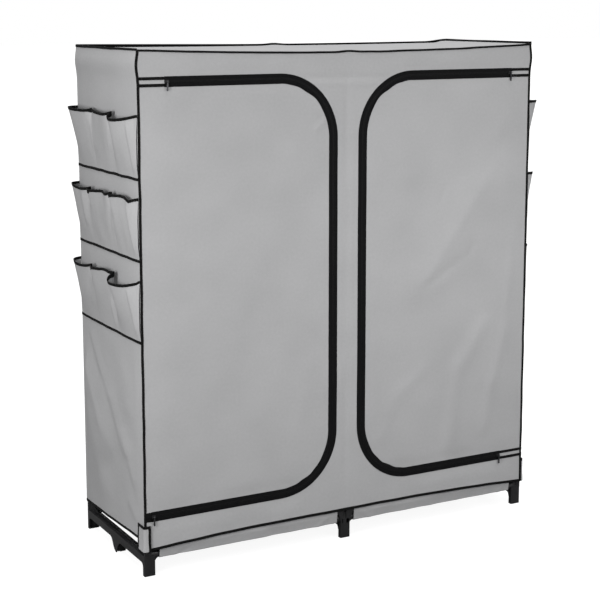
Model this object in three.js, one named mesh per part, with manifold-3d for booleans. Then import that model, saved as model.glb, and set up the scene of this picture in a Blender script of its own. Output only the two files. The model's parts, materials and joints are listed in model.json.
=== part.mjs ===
// Portable fabric wardrobe: a push-fit tube frame on three moulded supports, under a zipped cloth cover.
// Millimetres, +Z up, X across the front, front towards -Y, origin on the floor under the body's middle.

import * as THREE from "three";
import { mergeVertices } from "three/addons/utils/BufferGeometryUtils.js";
import Module from "manifold-3d";

const wasm = await Module();
wasm.setup();

// Body over the cloth, without the side pockets
const BODY_WIDTH = 1440;
const BODY_DEPTH = 510;
const BODY_HEIGHT = 1626;

// Cloth and trim
const CLOTH = 1.2;
const BINDING = 0.8;
const BINDING_WIDTH = 6;
const SEAT = 0.3;
const TOP_SAG = 15;

// Steel tubes
const TUBE_RADIUS = 8;
const TUBE_WALL = 1;
const BORE_GAP = 0.3;
const UPPER_UPRIGHT_LENGTH = 765;
const SPIGOT_LENGTH = 30;

// Moulded base supports
const SUPPORT_WIDTH = 36;
const SUPPORT_INSET = 3;
const SUPPORT_TOP = 66;
const BEAM_HEIGHT = 25;
const SUPPORT_WALL = 3.5;
const SUPPORT_CORNER = 5;
const POST_INSET = 16;
const COLLAR_WALL = 4.2;
const COLLAR_HEIGHT = 22;
const UPRIGHT_DEPTH = 16;
const SOCKET_WALL = 3.7;
const SOCKET_REACH = 32;
const BASE_RAIL_DROP = 1;
const FOOT_DEPTH = 17;
const FOOT_FILLET = 14;
const FOOT_CHAMFER = 2;
const FOOT_SOLE = 4;
const STUB_REAR = 40;
const STUB_FRONT = 48;
const STUB_TIP = 6;
const STUB_LEAN = 4;
const RIB_THICKNESS = 5;
const RIB_LENGTH = 40;
const RIB_HEIGHT = 16;
const WEB_DROP = 30;

// Moulded top supports and the hanging rods
const TOP_COLLAR_LENGTH = 42;
const TOP_BEAM_WIDTH = 16;
const TOP_BEAM_HEIGHT = 20;
const ROD_DROP = 36;
const ROD_SOCKET_REACH = 24;
const ROD_SOCKET_FLOOR = 4;

// Hems
const FRONT_HEM = 98;
const FRONT_HEM_DROP = 16;
const SIDE_HEM_FRONT = 122;
const SIDE_HEM_BACK = 94;
const BACK_HEM = 92;
const HEM_STEPS = 8;

// Door zips: each door is a D whose straight side is the fold line
const ZIP_TOP_DROP = 83;
const ZIP_BOTTOM = 178;
const ZIP_EDGE = 40;
const ZIP_RADIUS = 205;
const ZIP_WIDTH = 28;
const ZIP_GAP = 2.4;
const BEAD_WIDTH = 2.5;
const BEAD_PROUD = 0.8;
const STOP_LENGTH = 3;
const FOLD_INSET = 120;
const ARC_STEPS = 7;
const CHAIN_INSETS = {
  left: { top: 80, bottom: 16 },
  right: { top: 72, bottom: 88 },
};

// Zip sliders and their pulls
const SLIDER_LENGTH = 13;
const SLIDER_WIDTH = 10;
const SLIDER_PLATE = 1.2;
const SLIDER_GAP = 0.5;
const SLIDER_PARK = 14;
const WEB_THICKNESS = 1.6;
const WEB_LENGTH = 5;
const BRIDGE_RISE = 3.3;
const BRIDGE_BAR = 1.2;
const BRIDGE_WIDTH = 2;
const BRIDGE_LENGTH = 10;
const EYE_RADIUS = 1.5;
const EYE_WALL = 1.3;
const EYE_WIDTH = 3;
const PULL_LENGTH = 28;
const PULL_WIDTH = 6;
const PULL_THICKNESS = 1.4;

// Side pockets: rows from the top down, each with its mouth's drop from the body's top
const POCKET_DROPS = [194, 441, 691];
const POCKET_HEIGHT = 191;
const POCKET_INSET = 7;
const MOUTH_DROOP = 11;
const POCKET_BULGE = 8;
// How far each mouth stands off the side, from the front pocket of a row to the rear one
const POCKET_STANDS = {
  left: [
    [52, 44, 50],
    [36, 44, 40],
    [52, 44, 46],
  ],
  right: [
    [54, 44, 46],
    [42, 40, 42],
    [16, 24, 30],
  ],
};
const LOBE_POWER_SHARE = 0.4;
const TAPER_POWER_SHARE = 1.2;
const LOBE_STEPS = 6;
const POCKET_STEPS = 3;

// Cloth round the front base rails, and the flaps at the front corners
const WRAP_LAP = 14;
const WRAP_FOLD_DROP = 6;
const WRAP_REAR_RISE = 11;
const WRAP_STEPS = 6;
const FLAP_FRONT = 18;
const FLAP_SIDE = 43;
const FLAP_RISE = 2;
const FLAP_HEIGHT = 81;

// Facets round a tube and a moulded boss, and the overrun of a cut
const TUBE_FACETS = 12;
const BOSS_FACETS = 12;
const OVERRUN = 1;
const WELD = 1e-4;

// Places that follow from those sizes
const HALF_WIDTH = BODY_WIDTH / 2;
const HALF_DEPTH = BODY_DEPTH / 2;
const CROWN = BODY_HEIGHT - SEAT - BINDING;
const SUPPORT_LENGTH = BODY_DEPTH - 2 * SUPPORT_INSET;
const POST_X = HALF_WIDTH - SUPPORT_WIDTH / 2;
const POST_Y = SUPPORT_LENGTH / 2 - POST_INSET;
const BORE_RADIUS = TUBE_RADIUS + BORE_GAP;
const COLLAR_RADIUS = BORE_RADIUS + COLLAR_WALL;
const SOCKET_RADIUS = BORE_RADIUS + SOCKET_WALL;
const SOCKET_FLOOR = BORE_RADIUS + SUPPORT_WALL;
const UPRIGHT_BOTTOM = SUPPORT_TOP - UPRIGHT_DEPTH;
const BASE_RAIL_HEIGHT = SUPPORT_TOP - BASE_RAIL_DROP;
const MIDDLE_TOP = CROWN - TOP_SAG - CLOTH - SEAT;
const TOP_RAIL_HEIGHT = MIDDLE_TOP - SOCKET_RADIUS;
const ROD_HEIGHT = TOP_RAIL_HEIGHT - ROD_DROP;
const ZIP_TOP = BODY_HEIGHT - ZIP_TOP_DROP;
const FOLD_LINE = HALF_WIDTH - FOLD_INSET;
const TAPE_WIDTH = (ZIP_WIDTH - ZIP_GAP) / 2 - SEAT;
const DOOR_TAPE_INSET = ZIP_WIDTH - SEAT - TAPE_WIDTH;
const FRONT_FACE = -HALF_DEPTH;
const FRONT_INSIDE = FRONT_FACE + CLOTH;
const BEAD_FACE = FRONT_FACE - BEAD_PROUD;
const TRIM_OUT = SEAT + BINDING;
const FLAP_OUT = TRIM_OUT + SEAT;

const SIDES = [
  { name: "left", sign: -1 },
  { name: "right", sign: 1 },
];
const ENDS = [
  { name: "front", sign: -1 },
  { name: "rear", sign: 1 },
];

const finish = (color, roughness, metalness) =>
  new THREE.MeshStandardMaterial({ color, roughness, metalness });
const CLOTH_GREY = finish("#a2a2a1", 0.95, 0);
const BINDING_BLACK = finish("#161616", 0.9, 0);
const ZIP_BLACK = finish("#121212", 0.7, 0);
const MOULDED_BLACK = finish("#242424", 0.5, 0);
const COATED_STEEL = finish("#1d1d1e", 0.4, 0.4);
const SLIDER_METAL = finish("#4a4a4c", 0.35, 0.9);
const PULL_METAL = finish("#a8a8aa", 0.3, 0.9);

// A place's distance from the middle, as a share of half the body, and 1 outside it
const reachShare = (place, half) => Math.min(Math.abs(place / half), 1);

// Height of the top cloth over a place across the body: it hangs between the raised corners
function coverTop(x) {
  return CROWN - TOP_SAG * (1 - reachShare(x, HALF_WIDTH) ** 2);
}

// Lower edge of the front cloth: it dips towards both corners
function frontHem(x) {
  return FRONT_HEM - FRONT_HEM_DROP * reachShare(x, HALF_WIDTH) ** 3;
}

// Lower edge of a side cloth: higher at the front corner than at the back
function sideHem(y) {
  const along_share = (1 + Math.sign(y) * reachShare(y, HALF_DEPTH)) / 2;
  return SIDE_HEM_FRONT + (SIDE_HEM_BACK - SIDE_HEM_FRONT) * along_share;
}

const steps = (count) => Array.from({ length: count + 1 }, (_, i) => i / count);
const between = (low, high, share) => low + (high - low) * share;

function solid(geometry) {
  const bare = new THREE.BufferGeometry();
  const loose = geometry.index ? geometry.toNonIndexed() : geometry;
  bare.setAttribute("position", loose.getAttribute("position"));
  const merged = mergeVertices(bare, WELD);
  return new wasm.Manifold(
    new wasm.Mesh({
      numProp: 3,
      vertProperties: merged.attributes.position.array,
      triVerts: new Uint32Array(merged.index.array),
    }),
  );
}

function geometryOf(body) {
  const mesh = body.getMesh();
  const geometry = new THREE.BufferGeometry();
  const points = new Float32Array(mesh.numVert * 3);
  for (let i = 0; i < mesh.numVert; i++)
    points.set(mesh.vertProperties.subarray(i * mesh.numProp, i * mesh.numProp + 3), i * 3);
  geometry.setAttribute("position", new THREE.BufferAttribute(points, 3));
  geometry.setIndex(new THREE.BufferAttribute(mesh.triVerts, 1));
  geometry.computeVertexNormals();
  return geometry;
}

const join = (pieces) => pieces.map(solid).reduce((a, b) => a.add(b));
const cut = (body, pieces) => pieces.map(solid).reduce((a, b) => a.subtract(b), body);

// A box between two corners, in either order
function block(a, b) {
  const low = a.map((value, i) => Math.min(value, b[i]));
  const size = a.map((value, i) => Math.abs(value - b[i]));
  return new THREE.BoxGeometry(...size).translate(...low.map((value, i) => value + size[i] / 2));
}

const X_AXIS = new THREE.Vector3(1, 0, 0);
const Y_AXIS = new THREE.Vector3(0, 1, 0);
const Z_AXIS = new THREE.Vector3(0, 0, 1);

// An outline of [y, z] points pushed along X from x0 to x1
function pushX(outline, x0, x1) {
  return push(outline, x1 - x0)
    .applyMatrix4(new THREE.Matrix4().makeBasis(Y_AXIS, Z_AXIS, X_AXIS))
    .translate(x0, 0, 0);
}

// An outline of [x, z] points pushed along Y from y0 to y1, with any holes
function pushY(outline, y0, y1, holes = []) {
  return push(outline, y1 - y0, holes)
    .applyMatrix4(new THREE.Matrix4().makeBasis(X_AXIS, Z_AXIS, Y_AXIS.clone().negate()))
    .translate(0, y1, 0);
}

function push(outline, depth, holes = []) {
  const points = (list) => list.map(([a, b]) => new THREE.Vector2(a, b));
  const shape = new THREE.Shape(points(outline));
  shape.holes = holes.map((hole) => new THREE.Path(points(hole)));
  return new THREE.ExtrudeGeometry(shape, { depth, bevelEnabled: false });
}

// A round bar along Z or X between two places on its axis
function roundZ(radius, x, y, z0, z1, facets = BOSS_FACETS) {
  const bar = new THREE.CylinderGeometry(radius, radius, Math.abs(z1 - z0), facets);
  return bar.rotateX(Math.PI / 2).translate(x, y, (z0 + z1) / 2);
}

function roundX(radius, x0, x1, y, z, facets = BOSS_FACETS) {
  const bar = new THREE.CylinderGeometry(radius, radius, Math.abs(x1 - x0), facets);
  return bar.rotateZ(Math.PI / 2).translate((x0 + x1) / 2, y, z);
}

// A hollow tube standing on Z = 0, with a narrowed spigot on its top end where spigot is over 0
function tubeGeometry(length, spigot = 0) {
  const bore = TUBE_RADIUS - TUBE_WALL;
  const neck = bore - BORE_GAP;
  const narrow = neck - TUBE_WALL;
  const body = [
    [bore, 0],
    [TUBE_RADIUS, 0],
    [TUBE_RADIUS, length],
  ];
  const end = [[bore, length]];
  const narrowed = [
    [neck, length],
    [neck, length + spigot],
    [narrow, length + spigot],
    [narrow, length - spigot],
    [bore, length - spigot],
  ];
  const profile = [...body, ...(spigot ? narrowed : end), body[0]];
  return new THREE.LatheGeometry(
    profile.map(([r, z]) => new THREE.Vector2(r, z)),
    TUBE_FACETS,
  ).rotateX(Math.PI / 2);
}

// Cloth between two surfaces over a grid of shares u and v, closed by a rim
function sheet(across, along, face, back) {
  const points = [];
  for (const surface of [face, back])
    for (const v of steps(along)) for (const u of steps(across)) points.push(surface(u, v));
  const row = across + 1;
  const id = (side, i, j) => side * row * (along + 1) + j * row + i;
  const quads = [];
  for (let j = 0; j < along; j++)
    for (let i = 0; i < across; i++) {
      quads.push([id(0, i, j), id(0, i + 1, j), id(0, i + 1, j + 1), id(0, i, j + 1)]);
      quads.push([id(1, i, j), id(1, i, j + 1), id(1, i + 1, j + 1), id(1, i + 1, j)]);
    }
  for (let i = 0; i < across; i++) {
    quads.push([id(0, i + 1, 0), id(0, i, 0), id(1, i, 0), id(1, i + 1, 0)]);
    quads.push([id(0, i, along), id(0, i + 1, along), id(1, i + 1, along), id(1, i, along)]);
  }
  for (let j = 0; j < along; j++) {
    quads.push([id(0, 0, j), id(0, 0, j + 1), id(1, 0, j + 1), id(1, 0, j)]);
    quads.push([id(0, across, j + 1), id(0, across, j), id(1, across, j), id(1, across, j + 1)]);
  }
  const turned = volumeOf(points, quads) < 0;
  const triangles = quads.flatMap(([a, b, c, d]) => (turned ? [a, c, b, a, d, c] : [a, b, c, a, c, d]));
  const geometry = new THREE.BufferGeometry();
  geometry.setAttribute("position", new THREE.Float32BufferAttribute(points.flat(), 3));
  geometry.setIndex(triangles);
  geometry.computeVertexNormals();
  return geometry;
}

// Signed volume inside the quads, positive where they face outwards
function volumeOf(points, quads) {
  const corner = (i) => new THREE.Vector3(...points[i]);
  const wedge = (a, b, c) => corner(a).dot(corner(b).cross(corner(c))) / 6;
  return quads.reduce((sum, [a, b, c, d]) => sum + wedge(a, b, c) + wedge(a, c, d), 0);
}

const wardrobe = new THREE.Group();

function place(parent, name, geometry, material, position = [0, 0, 0]) {
  const mesh = new THREE.Mesh(geometry, material);
  mesh.name = name;
  mesh.position.set(...position);
  parent.add(mesh);
  return mesh;
}

// Side outline of a base support: two feet, the beam between them and the leaning stub foot
function supportOutline() {
  const half = SUPPORT_LENGTH / 2;
  const under = SUPPORT_TOP - BEAM_HEIGHT;
  const foot = new THREE.Path();
  foot.moveTo(half - FOOT_CHAMFER, 0);
  foot.lineTo(half, FOOT_CHAMFER);
  foot.lineTo(half, SUPPORT_TOP);
  foot.lineTo(-half, SUPPORT_TOP);
  foot.lineTo(-half, FOOT_CHAMFER);
  foot.lineTo(-half + FOOT_CHAMFER, 0);
  foot.lineTo(-half + FOOT_DEPTH, 0);
  const front = -half + FOOT_DEPTH + FOOT_FILLET;
  foot.absarc(front, under - FOOT_FILLET, FOOT_FILLET, Math.PI, Math.PI / 2, true);
  foot.lineTo(-STUB_FRONT, under);
  const toe = -STUB_LEAN - STUB_TIP;
  foot.bezierCurveTo(-STUB_FRONT / 2, under, toe - STUB_TIP, STUB_TIP, toe, 0);
  foot.lineTo(-STUB_LEAN, 0);
  foot.bezierCurveTo(STUB_REAR / 2, STUB_TIP, STUB_REAR / 2, under, STUB_REAR, under);
  foot.absarc(-front, under - FOOT_FILLET, FOOT_FILLET, Math.PI / 2, 0, true);
  foot.lineTo(half - FOOT_DEPTH, 0);
  return foot.getPoints(5).map((p) => [p.x, p.y]);
}

// Plan of a base support with its rounded corners, as a solid taller than the support
function supportPlan() {
  const x = SUPPORT_WIDTH / 2;
  const y = SUPPORT_LENGTH / 2;
  const plan = new THREE.Path();
  plan.absarc(x - SUPPORT_CORNER, y - SUPPORT_CORNER, SUPPORT_CORNER, 0, Math.PI / 2);
  plan.absarc(-x + SUPPORT_CORNER, y - SUPPORT_CORNER, SUPPORT_CORNER, Math.PI / 2, Math.PI);
  plan.absarc(-x + SUPPORT_CORNER, -y + SUPPORT_CORNER, SUPPORT_CORNER, Math.PI, Math.PI * 1.5);
  plan.absarc(x - SUPPORT_CORNER, -y + SUPPORT_CORNER, SUPPORT_CORNER, Math.PI * 1.5, Math.PI * 2);
  const outline = plan.getPoints(3).map((p) => [p.x, p.y]);
  return push(outline, SUPPORT_TOP + OVERRUN * 2).translate(0, 0, -OVERRUN);
}

// The web under a rail socket, seen from the front, curving from the foot out to the socket
function socketWeb(sign, y) {
  const foot = SUPPORT_WIDTH / 2 - SUPPORT_WALL;
  const mouth = SOCKET_REACH - SEAT;
  const top = BASE_RAIL_HEIGHT - SOCKET_RADIUS + SUPPORT_WALL;
  const web = new THREE.Path();
  web.moveTo(foot, top - WEB_DROP);
  web.lineTo(SUPPORT_WIDTH / 2, top - WEB_DROP);
  web.quadraticCurveTo(SUPPORT_WIDTH / 2 + RIB_THICKNESS / 2, top - SUPPORT_WALL * 2, mouth, top - SUPPORT_WALL);
  web.lineTo(mouth, top);
  web.lineTo(foot, top);
  const outline = web.getPoints(4).map((p) => [p.x * sign, p.y]);
  return pushY(outline, y - RIB_THICKNESS / 2, y + RIB_THICKNESS / 2);
}

// Triangular rib on the beam behind each upright's collar
function beamRib(end) {
  const start = POST_Y - COLLAR_RADIUS + SUPPORT_WALL;
  const outline = [
    [end * start, SUPPORT_TOP - SUPPORT_WALL],
    [end * start, SUPPORT_TOP + RIB_HEIGHT],
    [end * (start - RIB_LENGTH), SUPPORT_TOP],
    [end * (start - RIB_LENGTH), SUPPORT_TOP - SUPPORT_WALL],
  ];
  return pushX(outline, -RIB_THICKNESS / 2, RIB_THICKNESS / 2);
}

// One moulded base support, with rail sockets towards each of the given sides
function baseSupport(socketSigns) {
  const half = SUPPORT_WIDTH / 2;
  const body = solid(pushX(supportOutline(), -half, half)).intersect(solid(supportPlan()));
  const hollow = half - SUPPORT_WALL;
  const inner = SUPPORT_LENGTH / 2 - FOOT_DEPTH;
  const roof = SUPPORT_TOP - SUPPORT_WALL;
  const toe = SUPPORT_LENGTH / 2 - SUPPORT_WALL;
  const channel = [
    block([-hollow, -inner, -OVERRUN], [hollow, inner, roof]),
    block([-hollow, -toe, FOOT_SOLE], [hollow, -inner + OVERRUN, roof]),
    block([-hollow, inner - OVERRUN, FOOT_SOLE], [hollow, toe, roof]),
  ];
  const bosses = [];
  const bores = [];
  for (const { sign: end } of ENDS) {
    const y = end * POST_Y;
    const collarTop = SUPPORT_TOP + COLLAR_HEIGHT;
    bosses.push(roundZ(COLLAR_RADIUS, 0, y, UPRIGHT_BOTTOM - SUPPORT_WALL, collarTop));
    bores.push(roundZ(BORE_RADIUS, 0, y, UPRIGHT_BOTTOM, collarTop + OVERRUN));
    bosses.push(beamRib(end));
    for (const sign of socketSigns) {
      const mouth = sign * SOCKET_REACH;
      bosses.push(roundX(SOCKET_RADIUS, 0, mouth, y, BASE_RAIL_HEIGHT));
      bosses.push(socketWeb(sign, y));
      bores.push(
        roundX(BORE_RADIUS, sign * SOCKET_FLOOR, mouth + sign * OVERRUN, y, BASE_RAIL_HEIGHT),
      );
    }
  }
  return geometryOf(cut(cut(body, channel).add(join(bosses)), bores));
}

// One moulded top support: a beam with a collar at each end and a socket for each hanging rod
function topSupport(socketSigns, top) {
  const halfBeam = TOP_BEAM_WIDTH / 2;
  const beamLow = TOP_RAIL_HEIGHT - TOP_BEAM_HEIGHT / 2;
  const pieces = [
    block([-halfBeam, -POST_Y, beamLow], [halfBeam, POST_Y, beamLow + TOP_BEAM_HEIGHT]),
    block([-halfBeam, -SOCKET_RADIUS, ROD_HEIGHT], [halfBeam, SOCKET_RADIUS, TOP_RAIL_HEIGHT]),
    roundX(SOCKET_RADIUS, -halfBeam, halfBeam, 0, ROD_HEIGHT),
  ];
  const bores = [];
  for (const sign of socketSigns) {
    const mouth = sign * ROD_SOCKET_REACH;
    pieces.push(roundX(SOCKET_RADIUS, 0, mouth, 0, ROD_HEIGHT));
    bores.push(
      roundX(BORE_RADIUS, sign * ROD_SOCKET_FLOOR, mouth + sign * OVERRUN, 0, ROD_HEIGHT),
    );
  }
  for (const { sign: end } of ENDS) {
    const y = end * POST_Y;
    const low = TOP_RAIL_HEIGHT - TOP_COLLAR_LENGTH;
    pieces.push(roundZ(COLLAR_RADIUS, 0, y, low, top));
    bores.push(roundZ(BORE_RADIUS, 0, y, low - OVERRUN, TOP_RAIL_HEIGHT));
    for (const sign of socketSigns) {
      const mouth = sign * SOCKET_REACH;
      pieces.push(roundX(SOCKET_RADIUS, 0, mouth, y, TOP_RAIL_HEIGHT));
      bores.push(
        roundX(BORE_RADIUS, sign * SOCKET_FLOOR, mouth + sign * OVERRUN, y, TOP_RAIL_HEIGHT),
      );
    }
  }
  return geometryOf(cut(join(pieces), bores));
}

// Tube frame
const frame = new THREE.Group();
wardrobe.add(frame);
const cornerTop = coverTop(POST_X - COLLAR_RADIUS) - CLOTH - SEAT;
const COLUMNS = [
  { name: "left", x: -POST_X, sockets: [1], top: cornerTop },
  { name: "middle", x: 0, sockets: [-1, 1], top: MIDDLE_TOP },
  { name: "right", x: POST_X, sockets: [-1], top: cornerTop },
];
const upperBottom = TOP_RAIL_HEIGHT - SEAT - UPPER_UPRIGHT_LENGTH;
const lowerBottom = UPRIGHT_BOTTOM + SEAT;
const lowerUpright = tubeGeometry(upperBottom - SEAT - lowerBottom, SPIGOT_LENGTH);
const upperUpright = tubeGeometry(UPPER_UPRIGHT_LENGTH);
for (const { name, x, sockets, top } of COLUMNS) {
  place(frame, `base_support_${name}`, baseSupport(sockets), MOULDED_BLACK, [x, 0, 0]);
  place(frame, `top_support_${name}`, topSupport(sockets, top), MOULDED_BLACK, [x, 0, 0]);
  for (const end of ENDS) {
    const y = end.sign * POST_Y;
    const post = `upright_${end.name}_${name}`;
    place(frame, `${post}_lower`, lowerUpright, COATED_STEEL, [x, y, lowerBottom]);
    place(frame, `${post}_upper`, upperUpright, COATED_STEEL, [x, y, upperBottom]);
  }
}

// Rails and rods run from socket floor to socket floor across each half of the body
const railLength = POST_X - 2 * (SOCKET_FLOOR + SEAT);
const rodLength = POST_X - 2 * (ROD_SOCKET_FLOOR + SEAT);
function acrossTube(name, length, side, y, z) {
  const tube = place(frame, name, tubeGeometry(length), COATED_STEEL);
  tube.rotation.y = Math.PI / 2;
  tube.position.set((side.sign * POST_X) / 2 - length / 2, y, z);
}
for (const side of SIDES) {
  for (const end of ENDS) {
    const y = end.sign * POST_Y;
    acrossTube(`base_rail_${end.name}_${side.name}`, railLength, side, y, BASE_RAIL_HEIGHT);
    acrossTube(`top_rail_${end.name}_${side.name}`, railLength, side, y, TOP_RAIL_HEIGHT);
  }
  acrossTube(`hanging_rod_${side.name}`, rodLength, side, 0, ROD_HEIGHT);
}

// Cloth cover
const cover = new THREE.Group();
wardrobe.add(cover);
const acrossBody = (share) => between(-HALF_WIDTH, HALF_WIDTH, share);

place(
  cover,
  "top_panel",
  sheet(
    HEM_STEPS,
    1,
    (u, v) => [acrossBody(u), between(-HALF_DEPTH, HALF_DEPTH, v), coverTop(acrossBody(u))],
    (u, v) => [acrossBody(u), between(-HALF_DEPTH, HALF_DEPTH, v), coverTop(acrossBody(u)) - CLOTH],
  ),
  CLOTH_GREY,
);

const topEdge = steps(HEM_STEPS)
  .reverse()
  .map((u) => [acrossBody(u), coverTop(acrossBody(u)) - CLOTH - SEAT]);
const backOutline = [[-HALF_WIDTH, BACK_HEM], [HALF_WIDTH, BACK_HEM], ...topEdge];
place(
  cover,
  "back_panel",
  pushY(backOutline, HALF_DEPTH - CLOTH, HALF_DEPTH),
  CLOTH_GREY,
);

const sideReach = HALF_DEPTH - CLOTH - SEAT;
const sideTop = CROWN - CLOTH - SEAT;
const sideLower = steps(HEM_STEPS / 2).map((v) => {
  const y = between(-sideReach, sideReach, v);
  return [y, sideHem(y)];
});
for (const { name, sign } of SIDES) {
  const outline = [...sideLower, [sideReach, sideTop], [-sideReach, sideTop]];
  const xs = [sign * HALF_WIDTH, sign * (HALF_WIDTH - CLOTH)].sort((a, b) => a - b);
  place(cover, `side_panel_${name}`, pushX(outline, ...xs), CLOTH_GREY);
}

// How far from the middle each run of a door's zip ends
function chainEnds(name) {
  const { top, bottom } = CHAIN_INSETS[name];
  return { top: HALF_WIDTH - top, bottom: HALF_WIDTH - bottom };
}

// One line of the zip's D, inset from its outer edge, as [distance from the middle, height] points
function zipLine(inset, ends) {
  const arcX = ZIP_EDGE + ZIP_RADIUS;
  const radius = ZIP_RADIUS - inset;
  const arc = (z, from) =>
    steps(ARC_STEPS).map((share) => {
      const angle = from + (share * Math.PI) / 2;
      return [arcX + radius * Math.cos(angle), z + radius * Math.sin(angle)];
    });
  return [
    [ends.top, ZIP_TOP - inset],
    ...arc(ZIP_TOP - ZIP_RADIUS, Math.PI / 2),
    ...arc(ZIP_BOTTOM + ZIP_RADIUS, Math.PI),
    [ends.bottom, ZIP_BOTTOM + inset],
  ];
}

const mirrored = (points, sign) => points.map(([x, z]) => [x * sign, z]);
const foldFixed = FOLD_LINE + SEAT / 2;
const foldMoving = FOLD_LINE - SEAT / 2;

// The opening of a door in the front cloth, with the short slots of the zip's parked ends
function doorHole({ name, sign }) {
  const ends = chainEnds(name);
  const outer = zipLine(0, { top: ends.top + SEAT, bottom: ends.bottom + SEAT });
  const inner = [
    [ends.bottom + SEAT, ZIP_BOTTOM + ZIP_WIDTH],
    [foldFixed, ZIP_BOTTOM + ZIP_WIDTH],
    [foldFixed, ZIP_TOP - ZIP_WIDTH],
    [ends.top + SEAT, ZIP_TOP - ZIP_WIDTH],
  ];
  return mirrored([...outer, ...inner], sign);
}

const frontLower = steps(HEM_STEPS).map((u) => [acrossBody(u), frontHem(acrossBody(u))]);
place(
  cover,
  "front_panel",
  pushY([...frontLower, ...topEdge], FRONT_FACE, FRONT_INSIDE, SIDES.map(doorHole)),
  CLOTH_GREY,
);

// A strip of zip tape between two insets, with the raised bead of its teeth at one edge
function tapeSolid(sign, ends, inset, beadInset) {
  const band = (low, high) =>
    mirrored([...zipLine(low, ends), ...zipLine(high, ends).reverse()], sign);
  const tape = pushY(band(inset, inset + TAPE_WIDTH), FRONT_FACE, FRONT_INSIDE);
  const bead = pushY(band(beadInset, beadInset + BEAD_WIDTH), BEAD_FACE, FRONT_INSIDE);
  return join([tape, bead]);
}

// The door-side tape and stop that stay on the cover between the fold line and the chain's end
function parkedTape(sign, end, edge, inward) {
  const at = (inset) => edge + inward * inset;
  const piece = (x0, x1, low, high, face) =>
    block([sign * x0, face, at(low)], [sign * x1, FRONT_INSIDE, at(high)]);
  return [
    piece(foldFixed, end, DOOR_TAPE_INSET, DOOR_TAPE_INSET + TAPE_WIDTH, FRONT_FACE),
    piece(foldFixed, end, DOOR_TAPE_INSET, DOOR_TAPE_INSET + BEAD_WIDTH, BEAD_FACE),
    piece(end - STOP_LENGTH, end, SEAT, ZIP_WIDTH - SEAT, BEAD_FACE),
  ];
}

for (const { name, sign } of SIDES) {
  const ends = chainEnds(name);
  const tape = tapeSolid(sign, ends, SEAT, SEAT + TAPE_WIDTH - BEAD_WIDTH);
  const parked = join([
    ...parkedTape(sign, ends.top, ZIP_TOP, -1),
    ...parkedTape(sign, ends.bottom, ZIP_BOTTOM, 1),
  ]);
  place(cover, `zip_tape_cover_${name}`, geometryOf(tape.add(parked)), ZIP_BLACK);
}

// Doors: each turns on its fold line, just proud of the zip's bead
for (const { name, sign } of SIDES) {
  const door = new THREE.Group();
  const pivot = [sign * FOLD_LINE, BEAD_FACE - SEAT, 0];
  door.position.set(...pivot);
  cover.add(door);
  const shift = pivot.map((value) => -value);
  const ends = { top: foldMoving, bottom: foldMoving };
  const cloth = pushY(mirrored(zipLine(ZIP_WIDTH, ends), sign), FRONT_FACE, FRONT_INSIDE);
  place(door, `door_panel_${name}`, cloth.translate(...shift), CLOTH_GREY);
  const tape = tapeSolid(sign, ends, DOOR_TAPE_INSET, DOOR_TAPE_INSET);
  place(door, `zip_tape_door_${name}`, geometryOf(tape).translate(...shift), ZIP_BLACK);
}

// A slider: two plates over the teeth, the web between them and a bridge for the pull
const plateFront = BEAD_FACE - SLIDER_GAP - SLIDER_PLATE;
const plateBack = FRONT_INSIDE + SLIDER_GAP;
const bridgeFront = plateFront - BRIDGE_RISE - BRIDGE_BAR;
const bridgeAxis = bridgeFront + BRIDGE_BAR / 2;
function sliderSolid() {
  const length = SLIDER_LENGTH / 2;
  const width = SLIDER_WIDTH / 2;
  const bridge = BRIDGE_LENGTH / 2;
  const bar = BRIDGE_WIDTH / 2;
  const post = bridge - BRIDGE_BAR;
  return join([
    block([-length, plateFront, -width], [length, plateFront + SLIDER_PLATE, width]),
    block([-length, plateBack, -width], [length, plateBack + SLIDER_PLATE, width]),
    block(
      [-WEB_LENGTH / 2, plateFront, -WEB_THICKNESS / 2],
      [WEB_LENGTH / 2, plateBack + SLIDER_PLATE, WEB_THICKNESS / 2],
    ),
    block([-bridge, bridgeFront, -bar], [bridge, bridgeFront + BRIDGE_BAR, bar]),
    block([-bridge, bridgeFront, -bar], [-post, plateFront + SLIDER_PLATE, bar]),
    block([post, bridgeFront, -bar], [bridge, plateFront + SLIDER_PLATE, bar]),
  ]);
}

// A pull: an eye round the bridge's bar and a tab that hangs from it, with its axis at the origin
function pullSolid() {
  const half = EYE_WIDTH / 2;
  const eye = roundX(EYE_RADIUS + EYE_WALL, -half, half, 0, 0, TUBE_FACETS);
  const bore = roundX(EYE_RADIUS, -half - OVERRUN, half + OVERRUN, 0, 0, TUBE_FACETS);
  const top = -EYE_RADIUS - EYE_WALL / 2;
  const tab = new THREE.Path();
  tab.moveTo(-half, top);
  tab.lineTo(half, top);
  tab.lineTo(PULL_WIDTH / 2, top - PULL_WIDTH);
  tab.lineTo(PULL_WIDTH / 2, PULL_WIDTH / 2 - PULL_LENGTH);
  tab.absarc(0, PULL_WIDTH / 2 - PULL_LENGTH, PULL_WIDTH / 2, 0, -Math.PI, true);
  const outline = tab.getPoints(4).map((p) => [p.x, p.y]);
  const plate = pushY(outline, -PULL_THICKNESS / 2, PULL_THICKNESS / 2);
  return cut(join([eye, plate]), [bore]);
}

const sliderGeometry = geometryOf(sliderSolid());
const pullGeometry = geometryOf(pullSolid());
const chainCentre = { top: ZIP_TOP - ZIP_WIDTH / 2, bottom: ZIP_BOTTOM + ZIP_WIDTH / 2 };
for (const { name, sign } of SIDES)
  for (const run of ["top", "bottom"]) {
    const slider = new THREE.Group();
    slider.position.set(sign * (chainEnds(name)[run] - SLIDER_PARK), 0, chainCentre[run]);
    cover.add(slider);
    place(slider, `zip_slider_${name}_${run}`, sliderGeometry, SLIDER_METAL);
    place(slider, `zip_pull_${name}_${run}`, pullGeometry, PULL_METAL, [0, bridgeAxis, 0]);
  }

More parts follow.
